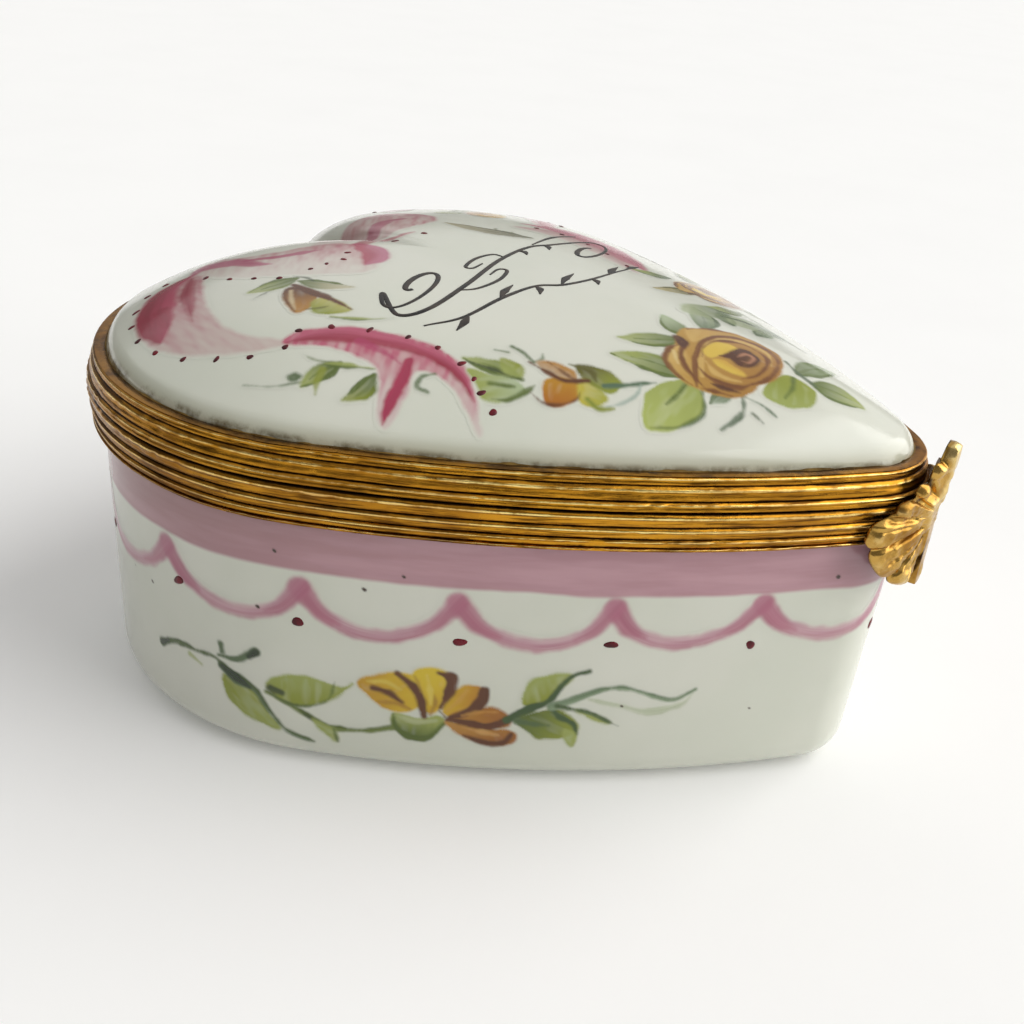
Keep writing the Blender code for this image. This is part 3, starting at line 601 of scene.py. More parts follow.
def rose_leaves(canvas):
    """The leaves and tendrils round the main rose."""
    stroke, wash, leaf = canvas.stroke, canvas.wash, canvas.leaf
    leaf((-3.0, -12.2), (-5.9, -8.6), 1.5, LEAF_LIGHT, LEAF_GREEN, bend=0.15, side=1, vein=0.6)
    leaf((-6.7, -14.4), (-8.0, -9.2), 1.9, LEAF_LIGHT, LEAF_GREEN, bend=-0.4, side=1, vein=0.6)
    wash([(-7.0, -14.6), (-8.2, -13.4), (-9.9, -12.9), (-11.8, -13.6), (-12.4, -14.3), (-11.2, -15.6),
          (-9.4, -16.4), (-7.9, -16.0)], LEAF_LIGHT, 0.88, tint=(192, 204, 110), towards=(-1, 0), rim=0.2)
    stroke([(-7.2, -15.6), (-9.0, -16.5), (-10.9, -15.8), (-12.2, -14.4)], [0.3, 0.45, 0.35, 0.3],
           LEAF_GREEN, 0.75, tint=LEAF_GREY)
    stroke([(-7.1, -14.5), (-8.4, -14.5), (-9.9, -14.3)], [0.45, 0.5, 0.2], LEAF_GREEN, 0.75)
    leaf((-6.1, -17.2), (-7.9, -16.5), 0.8, (172, 186, 160), LEAF_GREY, side=-1, vein=0.4)
    stroke([(-5.6, -17.8), (-7.2, -18.5), (-9.3, -18.0)], [0.3, 0.5, 0.35], (104, 122, 96), 0.85)
    stroke([(-5.7, -18.1), (-5.6, -19.3), (-5.8, -20.4)], [0.3, 0.4, 0.25], (120, 138, 112), 0.85)
    stroke([(-6.7, -19.1), (-6.9, -19.9)], [0.3, 0.35], (100, 112, 86), 0.85)
    wash([(-1.4, -19.6), (-3.0, -18.8), (-4.6, -19.0), (-4.4, -20.6), (-3.2, -21.8), (-1.6, -21.4)],
         LEAF_FRESH, 0.88, tint=LEAF_LIGHT, towards=(-1, -0.4), rim=0.2)
    stroke([(-1.4, -19.8), (-2.6, -20.2), (-3.8, -20.2)], [0.4, 0.5, 0.15], LEAF_GREEN, 0.7)
    leaf((-0.8, -21.0), (0.1, -24.6), 2.3, LEAF_LIGHT, LEAF_GREEN, bend=0.3, side=-1, vein=0.5)
    leaf((-0.6, -19.8), (4.2, -21.2), 1.9, (156, 176, 124), LEAF_GREEN, bend=0.2, side=-1, vein=0.5)
    stroke([(0.4, -18.6), (-0.4, -19.8), (-0.9, -21.4)], [0.3, 0.5, 0.3], (84, 104, 70), 0.8)
    leaf((-2.2, -12.2), (-0.6, -9.5), 1.5, (186, 202, 160), LEAF_GREEN, bend=0.2, side=1, vein=0)
    leaf((-0.4, -12.8), (3.6, -10.2), 1.9, (178, 192, 146), LEAF_GREY, bend=-0.3, side=-1, vein=0.4)
    leaf((3.0, -13.6), (5.6, -11.6), 1.3, (172, 188, 150), LEAF_GREY, bend=0.2, side=-1, vein=0.4)
    leaf((3.2, -15.4), (6.2, -15.2), 1.3, (168, 184, 148), LEAF_GREY, bend=-0.2, side=1, vein=0.4)


def far_garland(canvas):
    """The garland on the far side: a second rose, buds and leaves along the lid's edge."""
    stroke, wash, leaf = canvas.stroke, canvas.wash, canvas.leaf
    leaf((10.2, -5.6), (8.4, -2.9), 1.3, LEAF_LIGHT, LEAF_GREY, bend=0.3, side=1)
    leaf((8.6, -8.4), (5.0, -6.4), 1.4, (196, 184, 130), OLIVE, bend=0.3, side=-1)
    leaf((12.6, -6.4), (15.6, -4.2), 1.6, LEAF_FRESH, LEAF_GREEN, bend=-0.3, side=1)
    leaf((8.2, -12.4), (5.4, -10.6), 1.5, LEAF_LIGHT, LEAF_GREEN, bend=0.2, side=1)
    leaf((11.6, -11.4), (12.6, -13.4), 1.5, LEAF_LIGHT, LEAF_GREEN, bend=0.1, side=1)
    rose(canvas, (10.3, -8.9), (0.62, 0.36), (-0.6, 1.2))
    stroke([(8.6, -12.0), (8.0, -13.8), (6.6, -15.4)], [0.4, 0.4, 0.15], LEAF_GREEN, 0.8)
    stroke([(16.4, -2.6), (17.4, 0.2), (18.8, 2.6)], [0.2, 0.4, 0.2], LEAF_GREY, 0.8)
    wash([(1.6, -10.4), (3.4, -9.6), (5.4, -10.6), (5.6, -12.4), (3.8, -12.6)], (186, 198, 150), 0.7,
         tint=LEAF_GREY, towards=(1, -1), edge=0.4)
    wash([(3.6, -13.2), (5.6, -12.6), (7.2, -14.0), (6.8, -16.4), (5.0, -15.8)], (180, 192, 146), 0.7,
         tint=LEAF_GREY, towards=(1, -1), edge=0.4)
    stroke([(4.4, -12.2), (5.8, -13.8), (6.6, -16.0), (6.2, -18.2)], [0.3, 0.6, 0.5, 0.2], LEAF_GREY, 0.8)
    leaf((17.2, -0.4), (19.4, -0.2), 1.0, LEAF_LIGHT, LEAF_GREEN, side=1)
    leaf((8.4, 6.0), (6.9, 13.4), 1.4, (176, 168, 128), (110, 110, 78), bend=0.5, side=-1, vein=0.5)
    stroke([(8.4, 9.4), (7.2, 8.8)], [0.3, 0.1], (120, 122, 84), 0.7)
    stroke([(8.6, 8.0), (7.4, 7.2)], [0.3, 0.1], (120, 122, 84), 0.7)


def far_lobe(canvas):
    """The loop of ribbon and the bud on the far lobe, turned over from the near one."""
    stroke, wash, leaf = canvas.stroke, canvas.wash, canvas.leaf
    wash([(9.0, 20.4), (12.6, 23.0), (16.6, 23.4), (20.0, 21.0), (21.8, 17.2), (21.6, 13.2), (19.0, 9.6),
          (15.4, 7.6), (14.0, 8.6), (17.4, 11.6), (18.6, 15.2), (17.0, 18.8), (13.4, 20.6), (10.6, 19.4)],
         PALE_PINK, 0.8, tint=DUSKY_PINK, towards=(1, 1), edge=0.3)
    stroke([(10.0, 20.6), (13.6, 22.2), (17.2, 21.6), (19.8, 18.8), (20.6, 15.2)], [0.4, 1.8, 2.6, 2.2,
                                                                                    0.4], CRIMSON, 0.75,
           tint=(214, 130, 150), edge=0.3, streak=0.5)
    stroke([(20.2, 13.0), (18.2, 10.2), (15.4, 8.4), (13.6, 7.4)], [0.4, 1.4, 1.4, 0.4], ROSE_PINK, 0.75,
           edge=0.3)
    leaf((13.0, 15.6), (15.8, 16.6), 1.3, LEAF_LIGHT, LEAF_GREEN, side=1)
    leaf((12.6, 14.8), (10.2, 16.4), 1.3, LEAF_LIGHT, LEAF_GREEN, side=-1)
    wash([(13.6, 15.0), (14.8, 14.0), (14.6, 12.2), (13.2, 11.6), (12.0, 12.8), (12.2, 14.4)], GOLD_TAN,
         0.9, tint=YELLOW, towards=(0, -1))
    stroke([(13.2, 15.2), (13.6, 13.6), (13.3, 11.8)], [0.3, 0.6, 0.25], BROWN, 0.85)
    stroke([(12.4, 14.8), (12.0, 13.2), (12.9, 11.9)], [0.2, 0.4, 0.2], BROWN, 0.75)


def paint_lid():
    canvas = Canvas(-26, -30, 26, 30)
    ribbon(canvas)
    far_lobe(canvas)
    small_bud(canvas)
    left_sprig(canvas)
    centre_leaves(canvas)
    centre_bud(canvas)
    rose_leaves(canvas)
    rose(canvas, (-3.0, -15.3), (0.79, -0.78), (1.82, 0.78))
    far_garland(canvas)
    return canvas


SCALLOPS = 17
SCALLOP_PEAK_Z = 15.2
SCALLOP_DROP = 3.0


def scallop_line(canvas):
    """The swagged line round the bowl: one pull of the brush a swag, with a knot where two meet."""
    rng = np.random.default_rng(5)
    pitch = 2 * HALF_GIRTH / SCALLOPS
    peaks = rng.uniform(-0.35, 0.2, SCALLOPS + 1)
    for k in range(-(SCALLOPS // 2), SCALLOPS // 2 + 1):
        start, end = k * pitch, (k + 1) * pitch
        lean = rng.uniform(-0.6, 0.6)
        drop = SCALLOP_DROP + rng.uniform(-0.25, 0.25)
        share = np.linspace(0, 1, 9)
        sag = np.sin(math.pi * share) ** 0.62 * drop
        level = SCALLOP_PEAK_Z + peaks[k] * (1 - share) + peaks[k + 1] * share
        travelled = start + (end - start) * share + lean * np.sin(math.pi * share)
        points = np.column_stack([travelled, level - sag])
        canvas.stroke(points, [1.4, 1.2, 1.3, 1.35, 1.25, 1.5], SCALLOP_PINK, 0.72, tint=(216, 164, 178),
                      edge=0.34, streak=0.5)
        canvas.stroke(points[-3:], [0.5, 1.4, 1.8], (190, 100, 128), 0.55, edge=0.4, streak=0.5)
        canvas.stroke(points[:3], [1.6, 1.1, 0.4], (190, 106, 132), 0.45, edge=0.4, streak=0.5)


def spray(canvas):
    """The flower spray on the bowl's side: stem, leaves, calyx, petals and long tendrils."""
    stroke, wash = canvas.stroke, canvas.wash
    green, grey, dark = (78, 102, 40), (96, 118, 78), (38, 58, 22)
    # Stem end with its twig.
    stroke([(49.9, 6.8), (48.9, 6.4)], [0.5, 0.3], LEAF_LIGHT, 0.6)
    stroke([(52.9, 6.4), (51.2, 7.3), (49.4, 7.4), (47.7, 7.5), (46.9, 6.9)], [0.8, 0.6, 0.45, 0.5, 0.5],
           green, 0.85)
    stroke([(52.9, 6.4), (52.2, 6.9)], [0.8, 0.6], dark, 0.85)
    stroke([(47.1, 8.8), (47.0, 8.2)], [0.7, 0.6], grey, 0.85)
    stroke([(47.3, 7.8), (45.8, 8.0), (44.4, 9.0)], [0.3, 0.55, 0.75], grey, 0.9)
    stroke([(44.9, 8.5), (44.4, 8.9)], [0.6, 0.7], dark, 0.8)
    # Leaves of the stem.
    wash([(46.9, 6.4), (46.8, 4.9), (46.2, 4.0), (44.6, 3.2), (42.7, 2.9), (43.7, 4.4), (44.6, 5.8)],
         LEAF_FRESH, 0.85, tint=LEAF_LIGHT, towards=(-1, -1))
    stroke([(47.1, 7.0), (45.8, 6.3), (44.5, 5.8), (43.5, 4.4), (42.2, 2.9), (40.2, 2.2)], [0.8, 1.1, 0.7,
                                                                                            0.55, 0.5,
                                                                                            0.35], green,
           0.85, tint=grey)
    stroke([(47.1, 7.0), (46.0, 6.4), (44.9, 5.9)], [0.6, 0.9, 0.4], dark, 0.8)
    wash([(43.6, 6.4), (42.9, 7.2), (41.5, 7.7), (39.6, 7.5), (38.3, 7.2), (37.6, 7.6), (38.7, 6.4),
          (40.5, 5.3), (42.4, 5.3)], LEAF_FRESH, 0.85, tint=LEAF_LIGHT, towards=(0, 1))
    stroke([(43.4, 5.8), (42.0, 5.2), (40.4, 5.3), (39.2, 6.1), (38.8, 7.6)], [0.3, 0.4, 0.4, 0.3, 0.12],
           green, 0.8)
    stroke([(43.3, 6.2), (42.5, 6.0)], [0.8, 0.7], dark, 0.75)
    stroke([(43.6, 5.8), (41.0, 4.6), (39.4, 3.8), (38.2, 3.6), (36.4, 3.8), (34.4, 4.4)], [0.4, 0.5, 0.6,
                                                                                            0.55, 0.5, 0.6],
           LEAF_GREEN, 0.85, tint=(128, 144, 70))
    stroke([(41.2, 4.7), (40.2, 4.1), (39.4, 3.7)], [0.3, 0.45, 0.2], dark, 0.7)
    wash([(40.3, 4.1), (39.6, 3.2), (38.6, 2.5), (38.7, 3.4), (39.2, 3.8)], LEAF_LIGHT, 0.8)
    stroke([(38.8, 3.5), (38.5, 2.5)], [0.3, 0.35], green, 0.85)
    # Calyx.
    wash([(34.7, 5.4), (34.5, 4.2), (33.4, 3.5), (32.2, 3.6), (31.2, 5.0), (31.7, 5.5), (33.2, 5.2)],
         LEAF_LIGHT, 0.9, tint=LEAF_GREEN, towards=(0, -1), rim=0.25)
    stroke([(34.7, 5.4), (34.5, 4.4), (33.5, 3.6), (32.2, 3.7), (31.2, 5.0)], [0.3, 0.45, 0.6, 0.55, 0.3],
           LEAF_GREEN, 0.85)
    stroke([(34.6, 5.4), (33.2, 5.0), (31.8, 5.2)], [0.3, 0.5, 0.3], (196, 204, 150), 0.8)
    # Petals, near to far round the calyx, with their brown middles.
    wash([(33.6, 5.9), (35.2, 5.9), (36.6, 6.9), (37.2, 7.8), (36.3, 8.5), (34.7, 8.9), (33.2, 8.6),
          (32.6, 7.2)], (234, 198, 34), 0.95, tint=(214, 164, 24), towards=(1, -0.4))
    wash([(32.9, 6.2), (33.6, 8.4), (33.2, 9.4), (31.8, 9.5), (31.0, 8.9), (31.2, 7.0), (31.9, 5.9)],
         (238, 208, 44), 0.95, tint=YELLOW, towards=(0, -1))
    wash([(31.4, 6.2), (30.9, 7.6), (29.9, 8.3), (28.8, 8.2), (28.4, 7.3), (29.2, 6.2), (30.6, 5.6)],
         (208, 144, 20), 0.95, tint=YELLOW, towards=(1, 0))
    wash([(30.8, 5.8), (29.4, 6.4), (28.0, 6.6), (27.0, 6.0), (26.8, 5.2), (28.2, 4.9), (30.2, 5.2)],
         (198, 136, 34), 0.95, tint=(174, 108, 22), towards=(-1, 0))
    wash([(31.0, 5.2), (29.6, 5.0), (27.6, 4.8), (26.3, 4.5), (26.4, 3.7), (27.7, 3.4), (29.4, 3.9),
          (30.6, 4.6)], (204, 148, 60), 0.95, tint=(172, 106, 28), towards=(-0.3, -1))
    stroke([(36.2, 7.5), (35.2, 7.3), (34.2, 6.5)], [0.5, 0.6, 0.35], BROWN, 0.85)
    stroke([(34.6, 8.9), (33.4, 7.9), (32.9, 6.8), (32.6, 5.5)], [0.6, 0.75, 0.75, 0.6], BROWN, 0.9)
    stroke([(33.4, 8.8), (32.9, 7.6)], [0.3, 0.3], (190, 150, 36), 0.7)
    stroke([(31.8, 9.3), (31.0, 8.9), (31.0, 7.8), (31.5, 6.4)], [0.4, 1.0, 0.95, 0.4], BROWN, 0.9)
    stroke([(32.0, 7.4), (31.9, 6.6), (32.2, 5.7)], [0.2, 0.4, 0.3], (176, 130, 40), 0.8)
    stroke([(28.7, 8.0), (28.8, 7.1), (29.5, 6.2), (30.8, 5.6)], [0.9, 1.05, 0.7, 0.4], BROWN, 0.9)
    stroke([(26.9, 5.6), (28.2, 5.0), (29.6, 5.2), (31.0, 5.4)], [0.7, 0.8, 0.6, 0.45], BROWN, 0.9)
    stroke([(26.5, 4.4), (27.1, 3.6), (28.4, 3.6), (29.8, 4.1)], [0.6, 0.7, 0.5, 0.2], BROWN, 0.85)
    stroke([(31.2, 5.6), (31.6, 6.1)], [0.2, 0.2], UMBER, 0.8)
    stroke([(36.6, 8.0), (35.4, 8.1), (34.3, 7.6)], [0.2, 0.5, 0.2], (240, 212, 84), 0.8)
    stroke([(35.8, 6.4), (34.6, 6.4), (33.6, 6.0)], [0.2, 0.45, 0.3], (186, 134, 30), 0.7)
    stroke([(32.6, 9.0), (32.3, 7.8), (32.2, 6.6)], [0.3, 0.5, 0.2], (244, 218, 88), 0.8)
    stroke([(29.8, 8.0), (30.4, 7.0), (31.1, 6.1)], [0.25, 0.5, 0.2], (228, 174, 60), 0.7)
    stroke([(27.6, 6.3), (28.8, 6.2), (30.0, 5.8)], [0.2, 0.4, 0.2], (222, 160, 62), 0.7)
    stroke([(27.4, 4.3), (28.6, 4.5), (29.9, 4.8)], [0.25, 0.5, 0.2], (226, 176, 100), 0.7)
    # Leaves past the flower.
    wash([(25.9, 7.0), (25.9, 8.4), (25.2, 9.3), (23.8, 9.7), (22.8, 9.5), (23.8, 8.2), (24.4, 7.3)],
         LEAF_FRESH, 0.85, tint=LEAF_LIGHT, towards=(0.3, 1))
    stroke([(26.9, 5.7), (25.4, 6.7), (24.2, 7.4), (23.4, 8.8), (22.7, 9.6), (21.7, 10.0)], [0.7, 0.8, 0.6,
                                                                                             0.5, 0.5, 0.5],
           (62, 90, 40), 0.9)
    wash([(26.3, 5.6), (25.2, 4.6), (24.6, 4.2), (23.2, 4.2), (22.2, 4.6), (22.1, 3.6), (21.9, 4.9),
          (22.3, 5.7), (23.4, 6.6), (24.6, 6.5)], LEAF_FRESH, 0.88, tint=LEAF_GREEN, towards=(1, 0.5))
    stroke([(26.2, 5.6), (25.0, 5.4), (24.0, 5.3)], [0.6, 0.7, 0.2], (88, 112, 66), 0.75)
    stroke([(24.0, 6.9), (23.4, 6.1), (22.3, 5.5), (22.0, 4.6)], [0.4, 0.6, 0.45, 0.3], (66, 94, 44), 0.85)
    wash([(22.8, 5.0), (22.0, 4.4), (22.2, 3.5), (22.8, 4.2)], LEAF_LIGHT, 0.8)
    # Tendrils.
    stroke([(21.4, 7.6), (19.0, 7.0), (17.1, 6.5), (14.9, 7.0), (14.1, 8.0)], [0.3, 0.5, 0.7, 0.6, 0.1],
           (202, 212, 178), 0.7, edge=0.2)
    stroke([(23.9, 7.0), (22.1, 7.8), (20.4, 8.5), (18.8, 8.5), (16.8, 7.8), (15.4, 7.5), (14.0, 8.3)],
           [0.8, 0.7, 0.55, 0.5, 0.45, 0.5, 0.35], (108, 134, 96), 0.85, tint=(146, 168, 132))
    wash([(22.2, 6.7), (21.2, 6.0), (20.6, 5.7), (19.8, 5.6), (20.9, 6.2)], LEAF_LIGHT, 0.8)
    stroke([(23.6, 7.0), (21.4, 6.5), (20.2, 5.9), (19.1, 5.3)], [0.45, 0.5, 0.4, 0.2], (74, 100, 50), 0.85)


IRON_SPECKS = (
    (19.0, 7.0), (9.5, 6.3), (42.9, 17.3), (44.1, 12.7), (56.1, 11.2), (53.6, 11.1), (34.5, 16.6),
    (37.0, 15.3), (5.1, 17.0),
)


def paint_base():
    canvas = Canvas(-HALF_GIRTH - 0.5, 1.6, HALF_GIRTH + 0.5, 17.6)
    scallop_line(canvas)
    spray(canvas)
    for s, z in IRON_SPECKS:
        canvas.stroke([(s, z), (s + 0.08, z + 0.06)], [0.22, 0.2], (74, 54, 44), 0.8, edge=0.07, streak=0)
    canvas.flip = -1.0
    spray(canvas)
    return canvas


# ---------------------------------------------------------------- materials

def feed(tree, node, inputs):
    """Sets a node's inputs, each to a value or from another node's output."""
    for name, value in inputs.items():
        socket = node.inputs[name]
        if isinstance(value, bpy.types.NodeSocket):
            tree.links.new(value, socket)
        else:
            socket.default_value = value


def add(tree, kind, inputs=None, **settings):
    """A shader node with its settings and inputs."""
    made = tree.nodes.new(kind)
    for name, value in settings.items():
        setattr(made, name, value)
    feed(tree, made, inputs or {})
    return made


def rgba(colour):
    return (*linear(colour), 1.0)


def new_material(name):
    made = bpy.data.materials.new(name)
    made.use_nodes = True
    tree = made.node_tree
    shader = tree.nodes["Principled BSDF"]
    coords = add(tree, "ShaderNodeTexCoord").outputs["Object"]
    return made, tree, shader, coords


def noise_factor(tree, coords, scale, detail=3.0, roughness=0.55):
    return add(tree, "ShaderNodeTexNoise",
               {"Vector": coords, "Scale": scale, "Detail": detail, "Roughness": roughness}).outputs["Fac"]


def spread(tree, value, start, end, low_end=0.0, high_end=1.0, smooth=True):
    kind = "SMOOTHSTEP" if smooth else "LINEAR"
    return add(tree, "ShaderNodeMapRange", {"Value": value, "From Min": start, "From Max": end,
                                            "To Min": low_end, "To Max": high_end},
               interpolation_type=kind).outputs["Result"]


def mix(tree, factor, first, second):
    return add(tree, "ShaderNodeMix", {0: factor, 6: first, 7: second}, data_type="RGBA").outputs[2]


def math_node(tree, operation, first, second):
    return add(tree, "ShaderNodeMath", {0: first, 1: second}, operation=operation).outputs[0]


def attribute(tree, name, output="Fac"):
    return add(tree, "ShaderNodeAttribute", attribute_name=name).outputs[output]


def coordinate(tree, coords, axis):
    return add(tree, "ShaderNodeSeparateXYZ", {"Vector": coords}).outputs[axis]


def bump(tree, height, strength, distance):
    inputs = {"Height": height, "Strength": strength, "Distance": distance * MM}
    return add(tree, "ShaderNodeBump", inputs).outputs[0]


# The heights where the glaze's pink band, the base's dirt and painted shade under its band, the lid's stain
# and painted shade, and the lid's dirt start and are full.
PINK_BAND_EDGE = (15.85 * MM, 16.25 * MM)
BASE_DIRT_AND_SHADE_EDGE = (19.5 * MM, 19.85 * MM)
LID_STAIN_AND_SHADE_EDGE = (26.6 * MM, 25.0 * MM)
LID_DIRT_EDGE = (25.6 * MM, 25.05 * MM)


def painted_porcelain(name, part):
    """Glazed white porcelain. The base's has its pink band, darkened with painted shade under the brass and
    towards the back, and dirt with painted shade just under its band; the lid's has the dirt along its
    setting and a stain with painted shade towards its edge.
    """
    made, tree, shader, coords = new_material(name)
    glaze = mix(tree, spread(tree, noise_factor(tree, coords, 70), 0.3, 0.7), rgba((206, 209, 195)),
                rgba((213, 214, 202)))
    outside = attribute(tree, "outside")
    z = coordinate(tree, coords, "Z")
    # Towards the back: the lid's dirt climbs higher on the lobes than at the tip, which the thumb keeps
    # clean, and the base's pink band darkens with painted shade.
    back = spread(tree, coordinate(tree, coords, "Y"), -12 * MM, 20 * MM)
    fine = noise_factor(tree, coords, 900, detail=4)
    if part == "base":
        wobble = spread(tree, noise_factor(tree, coords, 120), 0, 1, -0.35 * MM, 0.35 * MM, smooth=False)
        level = math_node(tree, "ADD", z, wobble)
        in_band = math_node(tree, "MULTIPLY", spread(tree, level, *PINK_BAND_EDGE), outside)
        stretched = add(tree, "ShaderNodeMapping", {"Vector": coords, "Scale": (1.0, 1.0, 7.0)}).outputs[0]
        strokes = spread(tree, noise_factor(tree, stretched, 110), 0.3, 0.7)
        pink = mix(tree, strokes, rgba((172, 126, 136)), rgba((186, 142, 152)))
        # Painted shade: the pink band darkens towards the brass band above it and towards the back.
        painted_shade_under_brass = math_node(tree, "MULTIPLY", spread(tree, z, 15.5 * MM, 19.6 * MM, 0.25, 0.6), back)
        pink = mix(tree, painted_shade_under_brass, pink, rgba((132, 96, 88)))
        glaze = mix(tree, math_node(tree, "MULTIPLY", in_band, 0.95), glaze, pink)
        # Brown dirt and painted shade: a patchy darker line just under the brass band.
        dirt_and_shade = spread(tree, z, *BASE_DIRT_AND_SHADE_EDGE)
        dirt_and_shade_colour = rgba((120, 84, 60))
        patches = spread(tree, noise_factor(tree, coords, 300), 0.4, 0.65)
    else:
        # A faint yellowish stain and painted shade: the glaze darkens towards the lid's edge.
        stain_and_edge_shade = math_node(tree, "MULTIPLY", spread(tree, z, *LID_STAIN_AND_SHADE_EDGE, 0, 0.45), outside)
        glaze = mix(tree, stain_and_edge_shade, glaze, rgba((164, 160, 122)))
        higher_at_the_back = math_node(tree, "MULTIPLY", back, 0.28 * MM)
        dirt_and_shade = spread(tree, math_node(tree, "SUBTRACT", z, higher_at_the_back), *LID_DIRT_EDGE)
        dirt_and_shade_colour = rgba((88, 72, 30))
        patches = spread(tree, noise_factor(tree, coords, 380, detail=8, roughness=0.7), 0.42, 0.62)
    dirt_and_shade = math_node(tree, "MULTIPLY", math_node(tree, "MULTIPLY", dirt_and_shade, patches), outside)
    glaze = mix(tree, math_node(tree, "MULTIPLY", dirt_and_shade, 0.85), glaze, dirt_and_shade_colour)
    painted = mix(tree, attribute(tree, "paint", "Alpha"), glaze, attribute(tree, "paint", "Color"))
    feed(tree, shader, {
        "Base Color": painted, "Roughness": spread(tree, fine, 0.3, 0.7, 0.12, 0.2), "IOR": 1.5,
        "Coat Weight": 0.15, "Coat Roughness": 0.08,
        "Subsurface Weight": 0.08, "Subsurface Radius": (1.0, 0.9, 0.8), "Subsurface Scale": 0.8 * MM,
        "Normal": bump(tree, noise_factor(tree, coords, 150, detail=2), 0.12, 0.12),
    })
    return made


def worn_brass_with_painted_light(name):
    """Old brass: painted highlights on the crests, brown and black in the grooves, blotched and scratched
    along, and painted shade towards the hinge.
    """
    made, tree, shader, coords = new_material(name)
    patches = spread(tree, noise_factor(tree, coords, 70, detail=5, roughness=0.65), 0.4, 0.68)
    grain = noise_factor(tree, coords, 2200, detail=4)
    lengthwise = add(tree, "ShaderNodeMapping", {"Vector": coords, "Scale": (1.0, 1.0, 22.0)}).outputs[0]
    drawn = noise_factor(tree, lengthwise, 260, detail=6, roughness=0.65)
    level = attribute(tree, "relief")
    flat = spread(tree, level, 1.1, 1.4)
    jitter = noise_factor(tree, coords, 900, detail=5, roughness=0.7)
    jitter = spread(tree, jitter, 0, 1, -0.34, 0.34, smooth=False)
    level = math_node(tree, "ADD", level, jitter)
    body = mix(tree, patches, rgba((208, 148, 42)), rgba((142, 92, 28)))
    # Painted shade: darker towards the hinge, left bright towards the clasp.
    shade_towards_hinge = spread(tree, coordinate(tree, coords, "Y"), -6 * MM, 20 * MM, 0, 0.5)
    body = mix(tree, shade_towards_hinge, body, rgba((96, 62, 26)))
    body = mix(tree, spread(tree, drawn, 0.46, 0.62, 0, 0.8), body, rgba((76, 46, 15)))
    body = mix(tree, spread(tree, level, 0.4, 0.06), body, rgba((50, 30, 10)))
    # Painted highlight: the crests are coloured pale gold, dimmed too by the painted shade towards the
    # hinge.
    crest = mix(tree, patches, rgba((255, 232, 150)), rgba((230, 182, 104)))
    crest = mix(tree, shade_towards_hinge, crest, rgba((190, 144, 88)))
    body = mix(tree, spread(tree, level, 0.7, 0.95, 0, 0.95), body, crest)
    handled = mix(tree, patches, rgba((196, 146, 62)), rgba((172, 122, 46)))
    handled = mix(tree, spread(tree, drawn, 0.5, 0.7, 0, 0.35), handled, rgba((112, 74, 26)))
    body = mix(tree, flat, body, handled)
    roughness = spread(tree, patches, 0, 1, 0.24, 0.4)
    scratches = math_node(tree, "ADD", drawn, math_node(tree, "MULTIPLY", grain, 0.4))
    feed(tree, shader, {"Base Color": body, "Metallic": 1.0, "Roughness": roughness,
                        "Normal": bump(tree, scratches, 0.5, 0.07)})
    return made


def cast_brass(name):
    """Cast or bent brass: pale gold painted highlight on its high faces, brown where it is sunk or handled
    less.
    """
    made, tree, shader, coords = new_material(name)
    patches = spread(tree, noise_factor(tree, coords, 420, detail=5, roughness=0.65), 0.38, 0.68)
    pits = noise_factor(tree, coords, 2600, detail=4)
    level = attribute(tree, "relief")
    jitter = spread(tree, noise_factor(tree, coords, 1500, detail=4), 0, 1, -0.15, 0.15, smooth=False)
    level = math_node(tree, "ADD", level, jitter)
    body = mix(tree, patches, rgba((198, 158, 82)), rgba((152, 110, 46)))
    body = mix(tree, spread(tree, level, 0.45, 0.08), body, rgba((48, 28, 8)))
    # Painted highlight: the high faces turn pale gold.
    body = mix(tree, spread(tree, level, 0.7, 1.0, 0, 0.8), body, rgba((232, 206, 142)))
    roughness = spread(tree, patches, 0, 1, 0.24, 0.38)
    feed(tree, shader, {"Base Color": body, "Metallic": 1.0, "Roughness": roughness,
                        "Normal": bump(tree, pits, 0.4, 0.04)})
    return made


def old_cement(name, first, second):
    """Dry setting cement, or the dirt-stained bead of it that shows."""
    made, tree, shader, coords = new_material(name)
    lumps = noise_factor(tree, coords, 500, detail=5)
    feed(tree, shader, {
        "Base Color": mix(tree, spread(tree, lumps, 0.35, 0.65), rgba(first), rgba(second)),
        "Roughness": spread(tree, lumps, 0.2, 0.8, 0.6, 0.95), "Specular IOR Level": 0.15,
        "Normal": bump(tree, lumps, 0.6, 0.1),
    })
    return made


def raised_enamel(name, first, second):
    """Thick glossy enamel, a little uneven in colour."""
    made, tree, shader, coords = new_material(name)
    pooled = noise_factor(tree, coords, 1100, detail=2)
    feed(tree, shader, {
        "Base Color": mix(tree, spread(tree, pooled, 0.35, 0.65), rgba(first), rgba(second)),
        "Roughness": spread(tree, pooled, 0.3, 0.7, 0.25, 0.4), "Specular IOR Level": 0.3,
    })
    return made


def pale_paper(name):
    made, tree, shader, coords = new_material(name)
    fibre = noise_factor(tree, coords, 40, detail=4)
    feed(tree, shader, {
        "Base Color": mix(tree, fibre, rgba((232, 232, 231)), rgba((237, 237, 236))), "Roughness": 0.85,
        "Emission Color": (1.0, 1.0, 1.0, 1.0), "Emission Strength": 0.11,
    })
    return made


